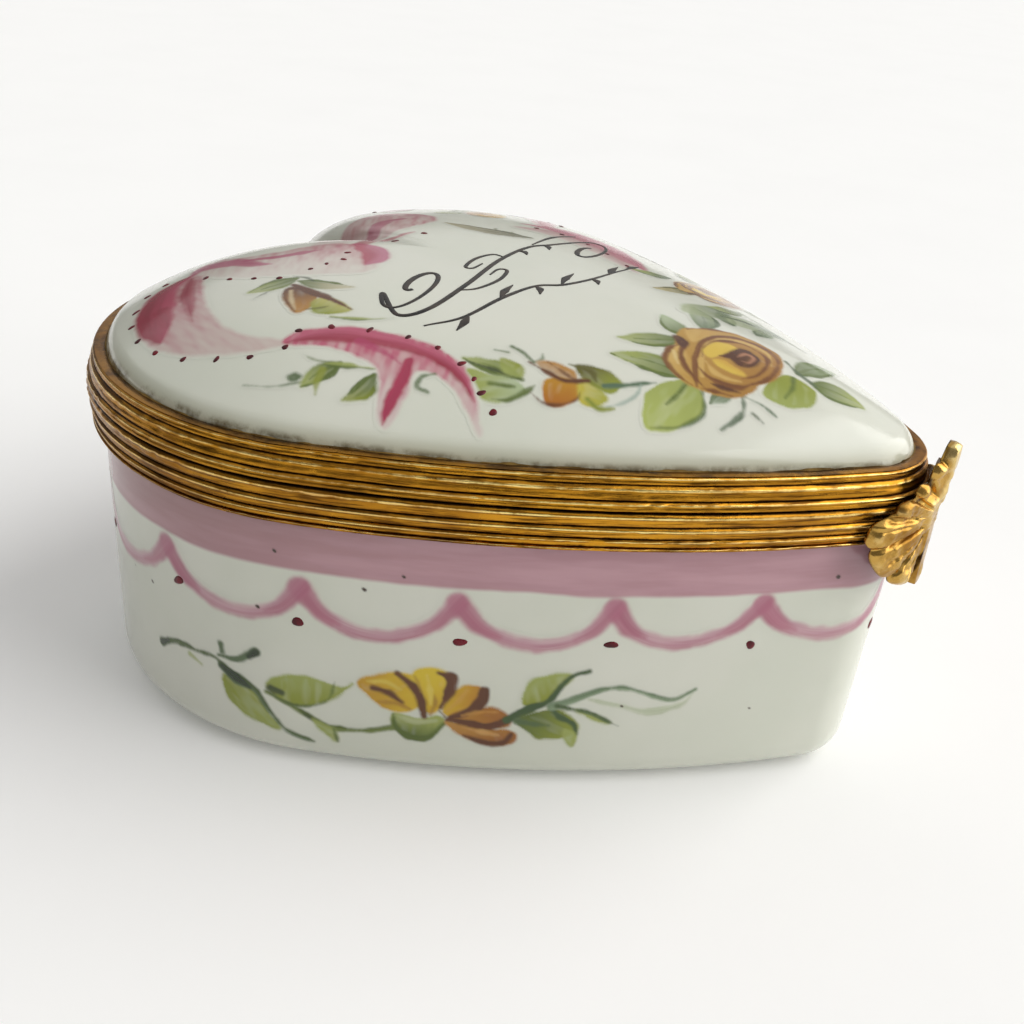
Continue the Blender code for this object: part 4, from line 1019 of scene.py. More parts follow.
LID_PORCELAIN = painted_porcelain("lid_glaze", "lid")
BASE_PORCELAIN = painted_porcelain("base_glaze", "base")
BRASS_BAND = worn_brass_with_painted_light("reeded_brass")
BRASS_CAST = cast_brass("cast_brass")
BRASS_PLAIN = cast_brass("plain_brass")
CEMENT_DIRTY = old_cement("stained_cement", (126, 100, 50), (70, 52, 22))
CEMENT_DRY = old_cement("dry_cement", (150, 134, 104), (110, 96, 70))
DOT_ENAMEL = raised_enamel("dark_red_enamel", (108, 6, 26), (62, 3, 14))
PEN_ENAMEL = raised_enamel("ink_black_enamel", (22, 20, 18), (58, 50, 44))


# ---------------------------------------------------------------- meshes

def in_scene(name, data):
    """A new object in the scene."""
    made = bpy.data.objects.new(name, data)
    bpy.context.scene.collection.objects.link(made)
    return made


def make_piece(name, points, faces, look, body, replaces=(), sharp=None, attributes=None,
               solid=True):
    """A mesh piece from points in millimetres. It rides on a body and stands for CAD nodes."""
    mesh = bpy.data.meshes.new(name)
    faces = faces if isinstance(faces, list) else faces.tolist()
    mesh.from_pydata((np.asarray(points) * MM).tolist(), [], faces)
    mesh.shade_smooth()
    if sharp:
        mesh.set_sharp_from_angle(angle=math.radians(sharp))
    for key, values in (attributes or {}).items():
        values = np.asarray(values, np.float32)
        kind, field = ("FLOAT_COLOR", "color") if values.ndim == 2 else ("FLOAT", "value")
        mesh.attributes.new(key, kind, "POINT").data.foreach_set(field, values.ravel())
    mesh.materials.append(look)
    piece = in_scene(name, mesh)
    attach(piece, body)
    if replaces:
        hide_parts(*replaces)
    if solid:
        face_outwards(mesh)


def face_outwards(mesh):
    """Turns every closed body's normals outwards."""
    bm = bmesh.new()
    bm.from_mesh(mesh)
    bmesh.ops.recalc_face_normals(bm, faces=bm.faces[:])
    bm.to_mesh(mesh)
    bm.free()


def quads(rows, columns, wrap_rows=False, wrap_columns=True, start=0):
    """Quads between the rows of a grid of points."""
    i = np.arange(rows if wrap_rows else rows - 1)
    j = np.arange(columns if wrap_columns else columns - 1)
    i, j = (a.ravel() for a in np.meshgrid(i, j, indexing="ij"))
    k, m = (i + 1) % rows, (j + 1) % columns
    return start + np.column_stack([i * columns + j, i * columns + m, k * columns + m, k * columns + j])


def quarter(radius, steps):
    """A rounded corner's (across, up), from flat to upright."""
    angles = np.linspace(0, math.pi / 2, steps + 1)
    return [(radius * (1 - math.sin(a)), radius * (1 - math.cos(a))) for a in angles]


def fan(start, count, apex, turned=False):
    """Triangles from a ring's points to one point, the other way round if turned."""
    pairs = [(start + j, start + (j + 1) % count) for j in range(count)]
    return [[b, a, apex] if turned else [a, b, apex] for a, b in pairs]


def shell(name, outer, inner, ends, look, body, node, sharp):
    """A porcelain shell of rings, from the point at its outer end to the point at its inner end."""
    count, rings = len(SHELL.points), [*outer, *inner]
    points = np.vstack([*rings, ends])
    faces = quads(len(rings), count).tolist()
    faces += fan(0, count, len(points) - 2, turned=True)
    faces += fan((len(rings) - 1) * count, count, len(points) - 1)
    outside = np.repeat([1.0, 0.0], [len(outer) * count, len(inner) * count])
    make_piece(name, points, faces, look, body, [node], sharp,
               {"outside": [*outside, 1.0, 0.0], "paint": np.zeros((len(points), 4))})


FOOT_RECESS = 0.35
FLOOR_CENTRE = np.array([0.0, 4.0])
FLOOR_DISH = 0.12


def porcelain_bowl():
    """The bowl, with a shallow recess under its foot and softly rounded edges."""
    recess, middle = SHELL.inset(6.1), DOME_CENTRE * 0.4
    outer = [ring(middle + (recess - middle) * 0.9, FOOT_RECESS), ring(recess, 0.3),
             ring(SHELL.inset(5.4), 0.05), ring(SHELL.inset(5.0), 0.0)]
    for across, up in quarter(BOWL_CORNER_RADIUS, 14):
        outer.append(ring(SHELL.inset(BOWL_FOOT_INSET + across), up))
    for z in np.linspace(3.4, BOWL_RIM_Z - 0.25, 18):
        outer.append(ring(SHELL.inset(wall_inset(z)), z))
    rim = ((0.0, -0.25), (0.07, -0.07), (0.25, 0.0), (BOWL_WALL - 0.3, 0.0), (BOWL_WALL - 0.1, -0.08),
           (BOWL_WALL, -0.3))
    inner = [ring(SHELL.inset(BOWL_RIM_INSET + across), BOWL_RIM_Z + up) for across, up in rim]
    inner_foot = BOWL_FOOT_INSET + BOWL_WALL
    corner = BOWL_FLOOR + BOWL_INNER_CORNER
    for z in np.linspace(BOWL_RIM_Z - 0.6, corner + 0.4, 10):
        inset = inner_foot + (BOWL_RIM_INSET - BOWL_FOOT_INSET) * (z - corner) / (BOWL_RIM_Z - corner)
        inner.append(ring(SHELL.inset(inset), z))
    for across, up in reversed(quarter(BOWL_INNER_CORNER, 10)):
        inner.append(ring(SHELL.inset(inner_foot + across), BOWL_FLOOR + up))
    floor = SHELL.inset(inner_foot + BOWL_INNER_CORNER)
    for share in (0.85, 0.6, 0.3):
        outline = FLOOR_CENTRE + (floor - FLOOR_CENTRE) * share
        inner.append(ring(outline, BOWL_FLOOR - FLOOR_DISH * (1 - share)))
    ends = [[0.0, 1.6, FOOT_RECESS], [*FLOOR_CENTRE, BOWL_FLOOR - FLOOR_DISH]]
    shell("porcelain_bowl", outer, inner, ends, BASE_PORCELAIN, "base", "porcelain_base", 50)


def porcelain_dome():
    """The lid's shell: domed and glossy outside, hollow inside."""
    near_edge = 1 - LID_EDGE_SHARE * (1 - np.cos(np.linspace(0, math.pi / 2, 9)))
    further_in = 1 - LID_EDGE_SHARE - (1 - LID_EDGE_SHARE) * np.linspace(0, 1, 72)[1:-1] ** 1.5
    outer = [ring(DOME_CENTRE + (LID_EDGE - DOME_CENTRE) * share, dome_height(share))
             for share in reversed([*near_edge, *further_in])]
    inner = [ring(LID_EDGE, LID_EDGE_Z - 0.15), ring(LID_EDGE, LID_RIM_Z + 0.1),
             ring(SHELL.inset(LID_EDGE_INSET + 0.12), LID_RIM_Z),
             ring(SHELL.inset(LID_EDGE_INSET + LID_WALL - 0.2), LID_RIM_Z)]
    edge = SHELL.inset(LID_EDGE_INSET + LID_WALL)
    rise = CROWN_Z - LID_WALL - LID_RIM_Z
    # The hollow's own outline loses the cleft as it rises.
    rounder = sum(np.roll(edge, k, axis=0) for k in range(-27, 28)) / 55
    for share in 1 - np.linspace(0, 1, 24)[:-1] ** 1.4:
        blend = ramp(share, 0.97, 0.45)
        outline = edge * (1 - blend) + rounder * blend
        z = LID_RIM_Z + rise * (1 - share**DOME_POWER)
        inner.append(ring(DOME_CENTRE + (outline - DOME_CENTRE) * share, z))
    ends = [[*DOME_CENTRE, CROWN_Z], [*DOME_CENTRE, CROWN_Z - LID_WALL]]
    shell("porcelain_dome", outer, inner, ends, LID_PORCELAIN, "lid", "porcelain_lid", 60)


def paint_film(name, canvas, place, look, body):
    """The canvas's painted cells as a thin film that follows the porcelain."""
    shown = canvas.cover > 0.004
    cells = shown[:-1, :-1] | shown[1:, :-1] | shown[:-1, 1:] | shown[1:, 1:]
    rows, columns = np.nonzero(cells)
    width = len(canvas.u)
    corner = rows * width + columns
    faces = np.column_stack([corner, corner + 1, corner + width + 1, corner + width])
    used, renumbered = np.unique(faces, return_inverse=True)
    faces = renumbered.reshape(-1, 4)
    v, u = np.divmod(used, width)
    points = place(canvas.u[u], canvas.v[v])
    cover = canvas.cover.ravel()[used]
    colour = canvas.colour.reshape(-1, 3)[used] / np.maximum(cover, 1e-4)[:, None]
    paint = np.column_stack([colour, cover])
    make_piece(name, points, faces, look, body, solid=False,
               attributes={"paint": paint, "outside": np.ones(len(points))})


# How far the painting's film and the raised enamel stand above the glaze.
FILM = 0.009
RAISED = 0.07


def enamel_dots(name, centres, sizes, place, look, body):
    """Small raised dots of enamel: flat underneath, domed on top, none quite round."""
    rng = np.random.default_rng(11)
    sides, levels = 14, ((1.0, -0.4), (0.92, 0.35), (0.66, 0.8), (0.3, 1.0))
    points, faces = [], []
    turns = np.linspace(0, 2 * math.pi, sides, endpoint=False)
    for (u, v), size in zip(centres, sizes):
        start = sum(len(p) for p in points)
        stretch, twist = rng.uniform(0.95, 1.3), rng.uniform(-0.5, 0.5)
        uneven = 1 + 0.12 * np.sin(turns * 2 + rng.uniform(0, 6))
        uneven = uneven + 0.07 * np.sin(turns * 3 + rng.uniform(0, 6))
        for share, up in levels:
            a, b = np.cos(turns) * stretch, np.sin(turns) / stretch
            across = (a * math.cos(twist) - b * math.sin(twist)) * uneven * share * size / 2
            along = (a * math.sin(twist) + b * math.cos(twist)) * uneven * share * size / 2
            points.append(place(u + across, v + along, RAISED * up))
        points.append(place(np.array([u, u]), np.array([v, v]), RAISED * np.array([1.05, -0.4])))
        faces += quads(len(levels), sides, start=start).tolist()
        top = start + (len(levels) - 1) * sides
        crown, under = top + sides, top + sides + 1
        faces += fan(top, sides, crown)
        faces += fan(start, sides, under, turned=True)
    make_piece(name, np.vstack(points), faces, look, body)


def pen_line(points, widths, place):
    """A raised pen stroke: a low rounded strip along a smooth line."""
    line, share = through(points, spacing=0.16)
    half = np.interp(share, np.linspace(0, 1, len(widths)), widths) / 2
    way = np.gradient(line, axis=0)
    way /= np.linalg.norm(way, axis=1)[:, None]
    across = np.column_stack([-way[:, 1], way[:, 0]])
    section = ((-1.0, -0.3), (-0.8, 0.45), (-0.3, 0.9), (0.3, 0.9), (0.8, 0.45), (1.0, -0.3))
    rings = []
    for side, up in section:
        path = line + across * (half * side)[:, None]
        rings.append(place(path[:, 0], path[:, 1], RAISED * 0.8 * up))
    grid = np.stack(rings, axis=1)
    count = len(section)
    faces = quads(len(line), count).tolist()
    last = (len(line) - 1) * count
    faces.append(list(range(count))[::-1])
    faces.append([last + k for k in range(count)])
    return grid.reshape(-1, 3), faces


# A scroll ornament on skewed axes: along its baseline, and up its slope.
FLOURISH_ORIGIN = np.array([-17.2, 4.6])
FLOURISH_ALONG = np.array([1.72, -0.46])
FLOURISH_UP = np.array([2.15, 0.92])


def spiral(centre, inner, outer, start, end, count=22):
    turns = np.linspace(start, end, count)
    reach = np.linspace(inner, outer, count)
    return np.column_stack([centre[0] + reach * np.cos(turns), centre[1] + reach * np.sin(turns)])


# Where each pen leaf springs from, and how far it reaches along and up.
PEN_LEAVES = ((7.4, 3.9, 0.7, -0.7), (8.9, 4.2, 0.6, -0.8), (5.8, -1.3, -0.4, -0.8),
              (7.4, -0.9, 0.5, 0.9), (9.3, -0.7, 0.5, -0.9), (11.0, -1.2, 0.6, 0.9),
              (12.8, -1.3, 0.6, -0.8), (14.0, -1.1, 0.5, 0.9), (15.1, -0.6, 0.9, 0.3))


def pen_leaf(x, y, across, rise):
    """The points and widths of one small leaf on a stem."""
    middle = (x + 0.5 * across - 0.15 * rise, y + 0.5 * rise + 0.15 * across)
    return [(x, y), middle, (x + across, y + rise)], [0.12, 0.7, 0.1]


def flourish():
    """A penned scroll with no letters in it: a wave between two spirals, tendrils, and a leafy twig."""

    def set_out(points):
        p = np.asarray(points, float)
        return FLOURISH_ORIGIN + p[:, :1] * FLOURISH_ALONG + p[:, 1:] * FLOURISH_UP

    left = spiral((1.9, 2.6), 0.35, 1.75, 4.4, -3.2)
    right = spiral((12.2, 2.7), 1.7, 0.35, 2.5, -5.2)
    wave = [(1.6, 0.6), (3.4, 0.2), (5.0, 1.3), (6.4, 3.2), (8.0, 4.2), (9.6, 4.1)]
    strokes = (
        (np.vstack([left, wave, right[2:]]), [0.36, 0.54, 0.42, 0.28, 0.48, 0.3, 0.34, 0.5, 0.34]),
        ([(4.7, 0.9), (5.8, 0.6), (6.9, 0.9), (7.2, 1.7), (6.6, 2.1), (6.2, 1.7)],
         [0.14, 0.3, 0.36, 0.34, 0.28, 0.16]),
        ([(6.7, 3.4), (5.8, 4.1), (4.8, 4.0), (4.4, 3.3), (4.9, 2.9), (5.4, 3.2)],
         [0.14, 0.3, 0.36, 0.34, 0.28, 0.16]),
        ([(3.4, -0.9), (5.6, -1.4), (7.6, -0.9), (9.4, -0.7), (11.2, -1.3), (13.0, -1.3), (15.2, -0.6)],
         [0.16, 0.32, 0.42, 0.34, 0.4, 0.32, 0.16]),
        ([(8.2, 4.5), (9.4, 5.3), (11.0, 5.4)], [0.16, 0.4, 0.16]),
        *(pen_leaf(*leaf) for leaf in PEN_LEAVES),
    )
    points, faces = [], []
    for path, widths in strokes:
        found, made = pen_line(set_out(path), widths, lid_point)
        start = sum(len(p) for p in points)
        faces += [[start + k for k in face] for face in made]
        points.append(found)
    make_piece("pen_flourish", np.vstack(points), faces, PEN_ENAMEL, "lid")


LID_DOTS = (
    (-18.3, 8.7), (-16.9, 7.1), (-15.8, 4.8), (-15.0, 2.3), (-14.8, 0.1), (-15.2, -2.0), (-15.9, -3.4),
    (-16.6, -4.4), (-17.4, -5.8), (-20.1, 8.4), (-21.8, 9.9), (-22.7, 11.9), (-23.3, 14.2),
    (-23.1, 16.8), (-22.1, 19.3), (-20.5, 21.4), (-18.5, 22.9), (-16.1, 24.1), (-14.3, 24.0),
    (-13.8, 20.6), (-13.9, 18.3), (-13.4, 16.5), (-12.7, 14.8), (-10.3, 13.9), (-8.8, 13.6),
    (-7.3, 13.2), (-5.8, 13.9), (-0.3, 13.4), (2.6, 12.6), (12.2, 7.6), (12.6, 5.4), (11.9, 2.6),
    (10.6, 0.2), (8.8, -2.4), (22.4, 15.0), (22.2, 18.0), (20.8, 20.8), (18.4, 23.0), (15.4, 24.4),
    (12.2, 24.0), (9.6, 22.2), (20.4, 10.6), (17.6, 8.0), (22.0, 12.6),
)

BASE_DOTS = (
    (0.2, 11.9), (10.6, 11.9), (20.5, 12.2), (30.6, 11.9), (41.4, 12.1), (50.6, 12.6), (61.0, 12.2),
    (71.6, 12.0), (82.2, 12.1),
)


def hoop(name, rings, look, body, node, sharp, attributes=None):
    """A closed hoop of rings round the bands' outline."""
    faces = quads(len(rings), len(BAND.points), wrap_rows=True)
    make_piece(name, np.vstack(rings), faces, look, body, [node], sharp, attributes)


def band(name, profile, body, node, seed):
    """A reeded brass band. profile is a closed list of (inset, z, relief) with 1 on the crests."""
    rings, relief = [], []
    for inset, z, level in profile:
        patches = ramp(noise(BAND_DISTANCE / 9.0, z * 0.9, seed), 0.45, 0.75)
        nicks = noise(BAND_DISTANCE / 0.5 + z * 1.2, z * 3.0, seed + 1) ** 3
        waves = noise(BAND_DISTANCE / 5.0, z * 1.4, seed + 2) - 0.5
        dent = NICK_DEPTH * nicks * patches * level + WAVE_DEPTH * waves + 0.055
        lift = 0.05 * (noise(BAND_DISTANCE / 7.0, z, seed + 3) - 0.5) if level < 1 else 0
        rings.append(ring(BAND.inset(inset + dent), z + lift))
        worn = np.clip(dent, 0, 1) * 1.5 if level <= 1 else 0
        relief.append(np.full(len(BAND.points), level) - worn)
    hoop(name, rings, BRASS_BAND, body, node, 70, {"relief": np.concatenate(relief)})


# One reed's profile: the share of its height, and how far out it is there: 1 on its crest.
REED = (
    (0.0, 0.0), (0.05, 0.28), (0.12, 0.5), (0.24, 0.6), (0.32, 0.68), (0.38, 0.6), (0.5, 0.62),
    (0.6, 0.72), (0.67, 0.93), (0.73, 1.0), (0.79, 0.94), (0.85, 0.7), (0.91, 0.42), (0.96, 0.15),
)


def reeds(grooves, inset_at, depth=0.22):
    """The points of the reeds between groove heights. Each swells to a thin crest above its middle."""
    points = []
    for lower, upper in zip(grooves, grooves[1:]):
        for share, level in REED:
            z = lower + (upper - lower) * share
            points.append((inset_at(z) + depth * (1 - level), z, max(level, 0.02)))
    points.append((inset_at(grooves[-1]) + depth, grooves[-1], 0.02))
    return points


# The heights of the grooves between reeds, and how far each band stands into the gap at the parting line.
BASE_GROOVES = (20.12, 20.78, 21.68)
LID_GROOVES = (23.5, 24.5)
VISUAL_LIP = 0.1
# How deep a band is nicked and wavy.
NICK_DEPTH = 0.14
WAVE_DEPTH = 0.06


def base_band():
    top = high("base_bezel") + VISUAL_LIP
    wall = BOWL_RIM_INSET - SEAT_GAP

    def inset_at(z):
        return 0.4 * (top - z) / (top - BASE_BAND_BOTTOM)

    profile = [
        *reeds((BASE_BAND_BOTTOM, *BASE_GROOVES, top), inset_at),
        (0.5, top, 0.6), (0.75, top, 1.5),
        (FLANGE_INNER_INSET - 0.1, top, 1.5), (FLANGE_INNER_INSET, top - 0.12, 1.5),
        (FLANGE_INNER_INSET, top - FLANGE_THICKNESS, 0.3), (wall, top - FLANGE_THICKNESS, 0.1),
        (wall, BASE_BAND_BOTTOM + 0.15, 0.1), (BOWL_RIM_INSET - 0.04, BASE_BAND_BOTTOM + 0.1, 0.2),
        (BOWL_RIM_INSET - 0.08, BASE_BAND_BOTTOM, 0.3),
    ]
    band("base_band", profile, "base", "base_bezel", 21)


def lid_band():
    bottom = low("lid_bezel") - VISUAL_LIP
    wall = LID_EDGE_INSET - SEAT_GAP

    def inset_at(z):
        return 0.7 * (z - bottom) / (LID_BAND_TOP - bottom)

    profile = [
        (0.5, bottom, 0.6),
        *reeds((bottom, *LID_GROOVES, LID_BAND_TOP), inset_at)[:-1],
        # The top face's low relief values colour it dark brown: painted shade where the band meets the lid's
        # edge.
        (0.78, LID_BAND_TOP, 0.6), (1.1, LID_BAND_TOP + 0.02, 0.45),
        (LID_EDGE_INSET - 0.14, LID_BAND_TOP, 0.35), (LID_EDGE_INSET - 0.03, LID_BAND_TOP - 0.1, 0.25),
        (wall, LID_BAND_TOP - 0.2, 0.1), (wall, bottom + FLANGE_THICKNESS, 0.1),
        (FLANGE_INNER_INSET, bottom + FLANGE_THICKNESS, 0.3), (FLANGE_INNER_INSET, bottom + 0.12, 1.5),
        (FLANGE_INNER_INSET - 0.1, bottom, 1.5), (0.75, bottom, 1.5),
    ]
    band("lid_band", profile, "lid", "lid_bezel", 31)


def cement_beads():
    """The cement in both settings, with the stained bead that has squeezed up round the lid."""
    lumps = 0.5 * noise(BAND_DISTANCE / 1.1, 0, 41) + 0.5 * noise(BAND_DISTANCE / 3.5, 0, 42)
    blobs = ramp(noise(BAND_DISTANCE / 0.8, 3, 43), 0.72, 0.95)
    wall, inner = LID_EDGE_INSET - SEAT_GAP, FLANGE_INNER_INSET - SEAT_GAP
    profile = (
        (wall + 0.02, LID_RIM_Z - 0.2),
        (wall + 0.03, LID_BAND_TOP - 0.16 + 0.08 * lumps),
        (wall + 0.14, LID_BAND_TOP - 0.14 + 0.12 * lumps),
        (LID_EDGE_INSET + 0.02, LID_BAND_TOP - 0.08 + 0.16 * lumps + 0.08 * blobs),
        (LID_EDGE_INSET + 0.12, LID_BAND_TOP - 0.2),
        (LID_EDGE_INSET + 0.1, LID_RIM_Z + 0.05),
        (LID_EDGE_INSET, LID_RIM_Z - 0.02),
        (inner, LID_RIM_Z - 0.02),
        (inner, low("lid_cement")),
        (wall + 0.1, low("lid_cement")),
    )
    rings = [ring(BAND.inset(inset), z) for inset, z in profile]
    hoop("lid_cement_bead", rings, CEMENT_DIRTY, "lid", "lid_cement", 60)
    bottom, top = low("base_cement"), high("base_cement")
    profile = ((BOWL_RIM_INSET, bottom), (BOWL_RIM_INSET, top), (inner - 0.1, top),
               (inner + 0.05, (top + bottom) / 2), (inner - 0.1, bottom))
    rings = [ring(BAND.inset(inset + 0.05 * lumps), z) for inset, z in profile]
    hoop("base_cement_bed", rings, CEMENT_DRY, "base", "base_cement", 60)


def round_the_tip(across, z, out):
    """Points at widths across, heights, and distances out from the tip's widest arc."""
    angle = np.asarray(across) / (TIP_RADIUS + 0.7)
    radius = TIP_RADIUS + np.asarray(out)
    x, y = radius * np.sin(angle), TIP_CENTRE_Y - radius * np.cos(angle)
    return np.stack([x, y, np.asarray(z) + 0 * radius], axis=-1)


CLASP_WAIST_Z = 21.5
CLASP_STAND_OFF = 0.16
# The clasp's reach from its waist, by the turn from straight down in degrees.
CLASP_REACH = (
    (0, 5.2), (30, 5.5), (60, 6.2), (82, 6.7), (93, 6.3), (98, 5.3), (103, 4.9), (110, 4.8), (116, 4.2),
    (121, 3.6), (127, 4.0), (134, 4.1), (140, 3.7), (146, 3.3), (152, 4.0), (158, 4.4), (163, 4.3),
    (167, 4.2), (170, 4.7), (174, 5.2), (180, 5.3),
)
CLASP_HALF_WIDTH = (
    (1.6, 4.2), (2.3, 3.4), (2.9, 2.7), (3.4, 2.1), (4.0, 1.65), (4.4, 1.25), (4.9, 0.95), (5.2, 0.7),
    (5.4, 0.3),
)
PETAL = 30.0
PETALS_END = 104.0
# Raised parts: (across, up, radius, height), each on both sides.
CLASP_BUDS = (
    (4.2, 1.1, 0.9, 0.22), (2.9, 2.5, 0.85, 0.26), (1.6, 3.7, 0.8, 0.26), (0.0, 4.6, 1.2, 0.4),
    (0.0, 0.4, 2.2, 0.26), (0.35, 4.75, 0.5, 0.14), (5.7, -0.7, 0.6, 0.14), (5.1, -2.6, 0.6, 0.14),
    (2.5, -4.2, 0.8, 0.16), (0.0, -4.5, 0.8, 0.16), (1.5, 1.0, 0.9, 0.2),
)
# Deep cuts between the lobes: their bearing, half widths in degrees, and where they start and are full.
CLASP_CUTS = ((98, 1.5, 5.0, 2.4, 3.2), (121.5, 2.0, 6.0, 1.3, 2.2), (147, 2.0, 6.0, 1.6, 2.4))
CHANNEL_DEPTH = 0.6
CLASP_REACH_OUT = 1.34
CHANNEL_HALF_WIDTH = 0.8


def clasp_front(across, up, share):
    """How far the casting's front stands out, and how deep each point lies: 0 in a groove, 1 on a ridge."""
    reach = np.hypot(across, up)
    turn = np.degrees(np.abs(np.arctan2(across, -up)))
    off = np.abs((turn + PETAL / 2) % PETAL - PETAL / 2)
    from_middle, from_gap = np.radians(off) * reach, np.radians(PETAL / 2 - off) * reach
    in_petals = 1 - ramp(turn, PETALS_END - 8, PETALS_END - 2)
    petals = in_petals * ramp(reach, 1.2, 2.6)
    height = 0.52 + 0.1 * petals * (1 - ramp(from_middle, 0.1, 1.3))
    slot = (1 - ramp(from_gap, 0.08, 0.26)) * ramp(reach, 1.5, 2.2) * (1 - ramp(reach, 4.5, 5.1)) * in_petals
    shallow = (1 - ramp(from_gap, 0.02, 0.3)) * ramp(reach, 3.8, 4.6) * in_petals
    crease = (1 - ramp(from_middle, 0.0, 0.16)) * ramp(reach, 3.0, 3.6)
    crease = crease * (1 - ramp(share, 0.8, 0.95)) * in_petals
    height -= 0.52 * slot + 0.22 * shallow + 0.14 * crease
    neck = np.exp(-((across / 0.8) ** 2)) * ramp(up, 0.8, 1.8)
    height += 0.34 * neck - 0.1 * (1 - neck) * ramp(up, 1.2, 2.0)
    for x, y, radius, rise in CLASP_BUDS:
        apart = np.hypot(np.abs(across) - x, up - y) / radius
        height += rise * np.clip(1 - apart**2, 0, 1) ** 0.9
    cut = 0.0
    for way, narrow, wide, near, far in CLASP_CUTS:
        cut = np.maximum(cut, (1 - ramp(np.abs(turn - way), narrow, wide)) * ramp(reach, near, far))
    height -= 0.34 * cut
    facets = noise(across / 0.6 + 9, up / 0.6 + 9, 61) + 0.5 * noise(across / 0.25 + 5, up / 0.25 + 5, 62)
    height += 0.17 * (facets - 0.75)
    relief = np.clip(0.2 + 0.8 * (height - 0.1) / 0.85, 0, 1)
    side = np.abs(across) / np.interp(up, *np.transpose(CLASP_HALF_WIDTH))
    height = height * np.sqrt(np.clip(1 - 0.92 * np.clip(side, 0, 1) ** 3 * ramp(up, 1.6, 2.6), 0.05, 1))
    height = np.maximum(height, 0.1) * np.sqrt(1 - 0.9 * np.clip((share - 0.84) / 0.16, 0, 1) ** 2.4)
    lean = 0.1 * np.clip(up - 1.0, 0, None)
    return np.minimum(CLASP_STAND_OFF + height + lean, CLASP_REACH_OUT), relief


def cast_clasp():
    """The palmette: seven petals below its waist, buds at its sides and a stem that ends in a knob."""
    turns = np.radians(np.linspace(-180, 180, 361)[:-1])
    shares = np.concatenate([np.linspace(0, 0.9, 44)[1:], [0.93, 0.96, 0.98, 0.99, 1.0]])
    degrees = np.abs(np.degrees(turns))
    reach = np.interp(degrees, *np.transpose(CLASP_REACH))
    phase = np.abs((degrees + PETAL / 2) % PETAL - PETAL / 2) / (PETAL / 2)
    reach = reach * (1 - 0.07 * phase**5 * (degrees < PETALS_END))
    reach = (np.roll(reach, 1) + 2 * reach + np.roll(reach, -1)) / 4
    share, turn = np.meshgrid(shares, turns, indexing="ij")
    across, up = share * reach * np.sin(turn), -share * reach * np.cos(turn)
    front, relief = clasp_front(across, up, share)
    lean = 0.1 * np.clip(up - 1.0, 0, None)
    channel = CHANNEL_DEPTH * (1 - ramp(np.abs(across), CHANNEL_HALF_WIDTH, 1.15))
    channel = channel * (1 - ramp(up, -0.1, 0.4))
    back = CLASP_STAND_OFF + channel + 0.8 * lean
    front = np.minimum(np.maximum(front, back + 0.12), CLASP_REACH_OUT)
    z = CLASP_WAIST_Z + up
    outer = round_the_tip(across, z, front).reshape(-1, 3)
    inner = round_the_tip(across, z, back).reshape(-1, 3)
    rows, columns = share.shape
    hub = [round_the_tip(0.0, CLASP_WAIST_Z, face[0].mean()) for face in (front, back)]
    points = np.vstack([outer, inner, hub])
    size = rows * columns
    j = np.arange(columns)
    k = (j + 1) % columns
    rim, faces = (rows - 1) * columns, quads(rows, columns).tolist()
    faces += quads(rows, columns, start=size)[:, ::-1].tolist()
    faces += np.column_stack([rim + j, rim + k, size + rim + k, size + rim + j]).tolist()
    faces += np.column_stack([k, j, np.full(columns, 2 * size)]).tolist()
    faces += np.column_stack([size + j, size + k, np.full(columns, 2 * size + 1)]).tolist()
    marks = np.concatenate([relief.ravel(), np.full(size, 0.2), [0.8, 0.2]])
    make_piece("cast_clasp", points, faces, BRASS_CAST, "lid", ["clasp"],
               attributes={"relief": marks})


# Edges of the CAD's brass that turn by more than this are rounded over.
EDGE_ANGLE = math.radians(40)


def soft_copy(node, name, body, width):
    """A CAD node's own shape with its edges rounded over."""
    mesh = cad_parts[node].data.copy()
    mesh.name = name
    piece = in_scene(name, mesh)
    bm = bmesh.new()
    bm.from_mesh(mesh)
    bmesh.ops.remove_doubles(bm, verts=bm.verts[:], dist=0.0005 * MM)
    bmesh.ops.dissolve_limit(bm, angle_limit=math.radians(1), verts=bm.verts[:], edges=bm.edges[:])
    edges = [e for e in bm.edges if len(e.link_faces) == 2 and e.calc_face_angle(0) > EDGE_ANGLE]
    bmesh.ops.bevel(bm, geom=edges, offset=width * MM, segments=3, affect="EDGES", profile=0.6,
                    clamp_overlap=True)
    bmesh.ops.recalc_face_normals(bm, faces=bm.faces[:])
    bm.to_mesh(mesh)
    bm.free()
    relief = mesh.attributes.new("relief", "FLOAT", "POINT")
    relief.data.foreach_set("value", np.full(len(mesh.vertices), 0.6, np.float32))
    mesh.materials.clear()
    mesh.materials.append(BRASS_PLAIN)
    mesh.shade_smooth()
    mesh.set_sharp_from_angle(angle=EDGE_ANGLE)
    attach(piece, body)
    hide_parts(node)


HINGE_PARTS = {
    "base": ("hinge_plate", "knuckle_left", "knuckle_centre", "knuckle_right"),
    "lid": ("hinge_plate", "knuckle_left", "knuckle_right"),
}


def hinge_pieces():
    for body, parts in HINGE_PARTS.items():
        for part in parts:
            soft_copy(f"{body}_{part}", f"{body}_soft_{part}", body, 0.08)
    soft_copy("hinge_pin", "hinge_wire", "base", 0.06)
    soft_copy("catch_bead", "catch_stud", "base", 0.05)


# ---------------------------------------------------------------- studio

CAMERA_TARGET = (3.79, 2.93, 8.56)
CAMERA_BEARING = -63.09
CAMERA_RISE = 27.57
CAMERA_ROLL = 5.85
CAMERA_DISTANCE = 109.71
LENS = 45.49
SENSOR = 36.0


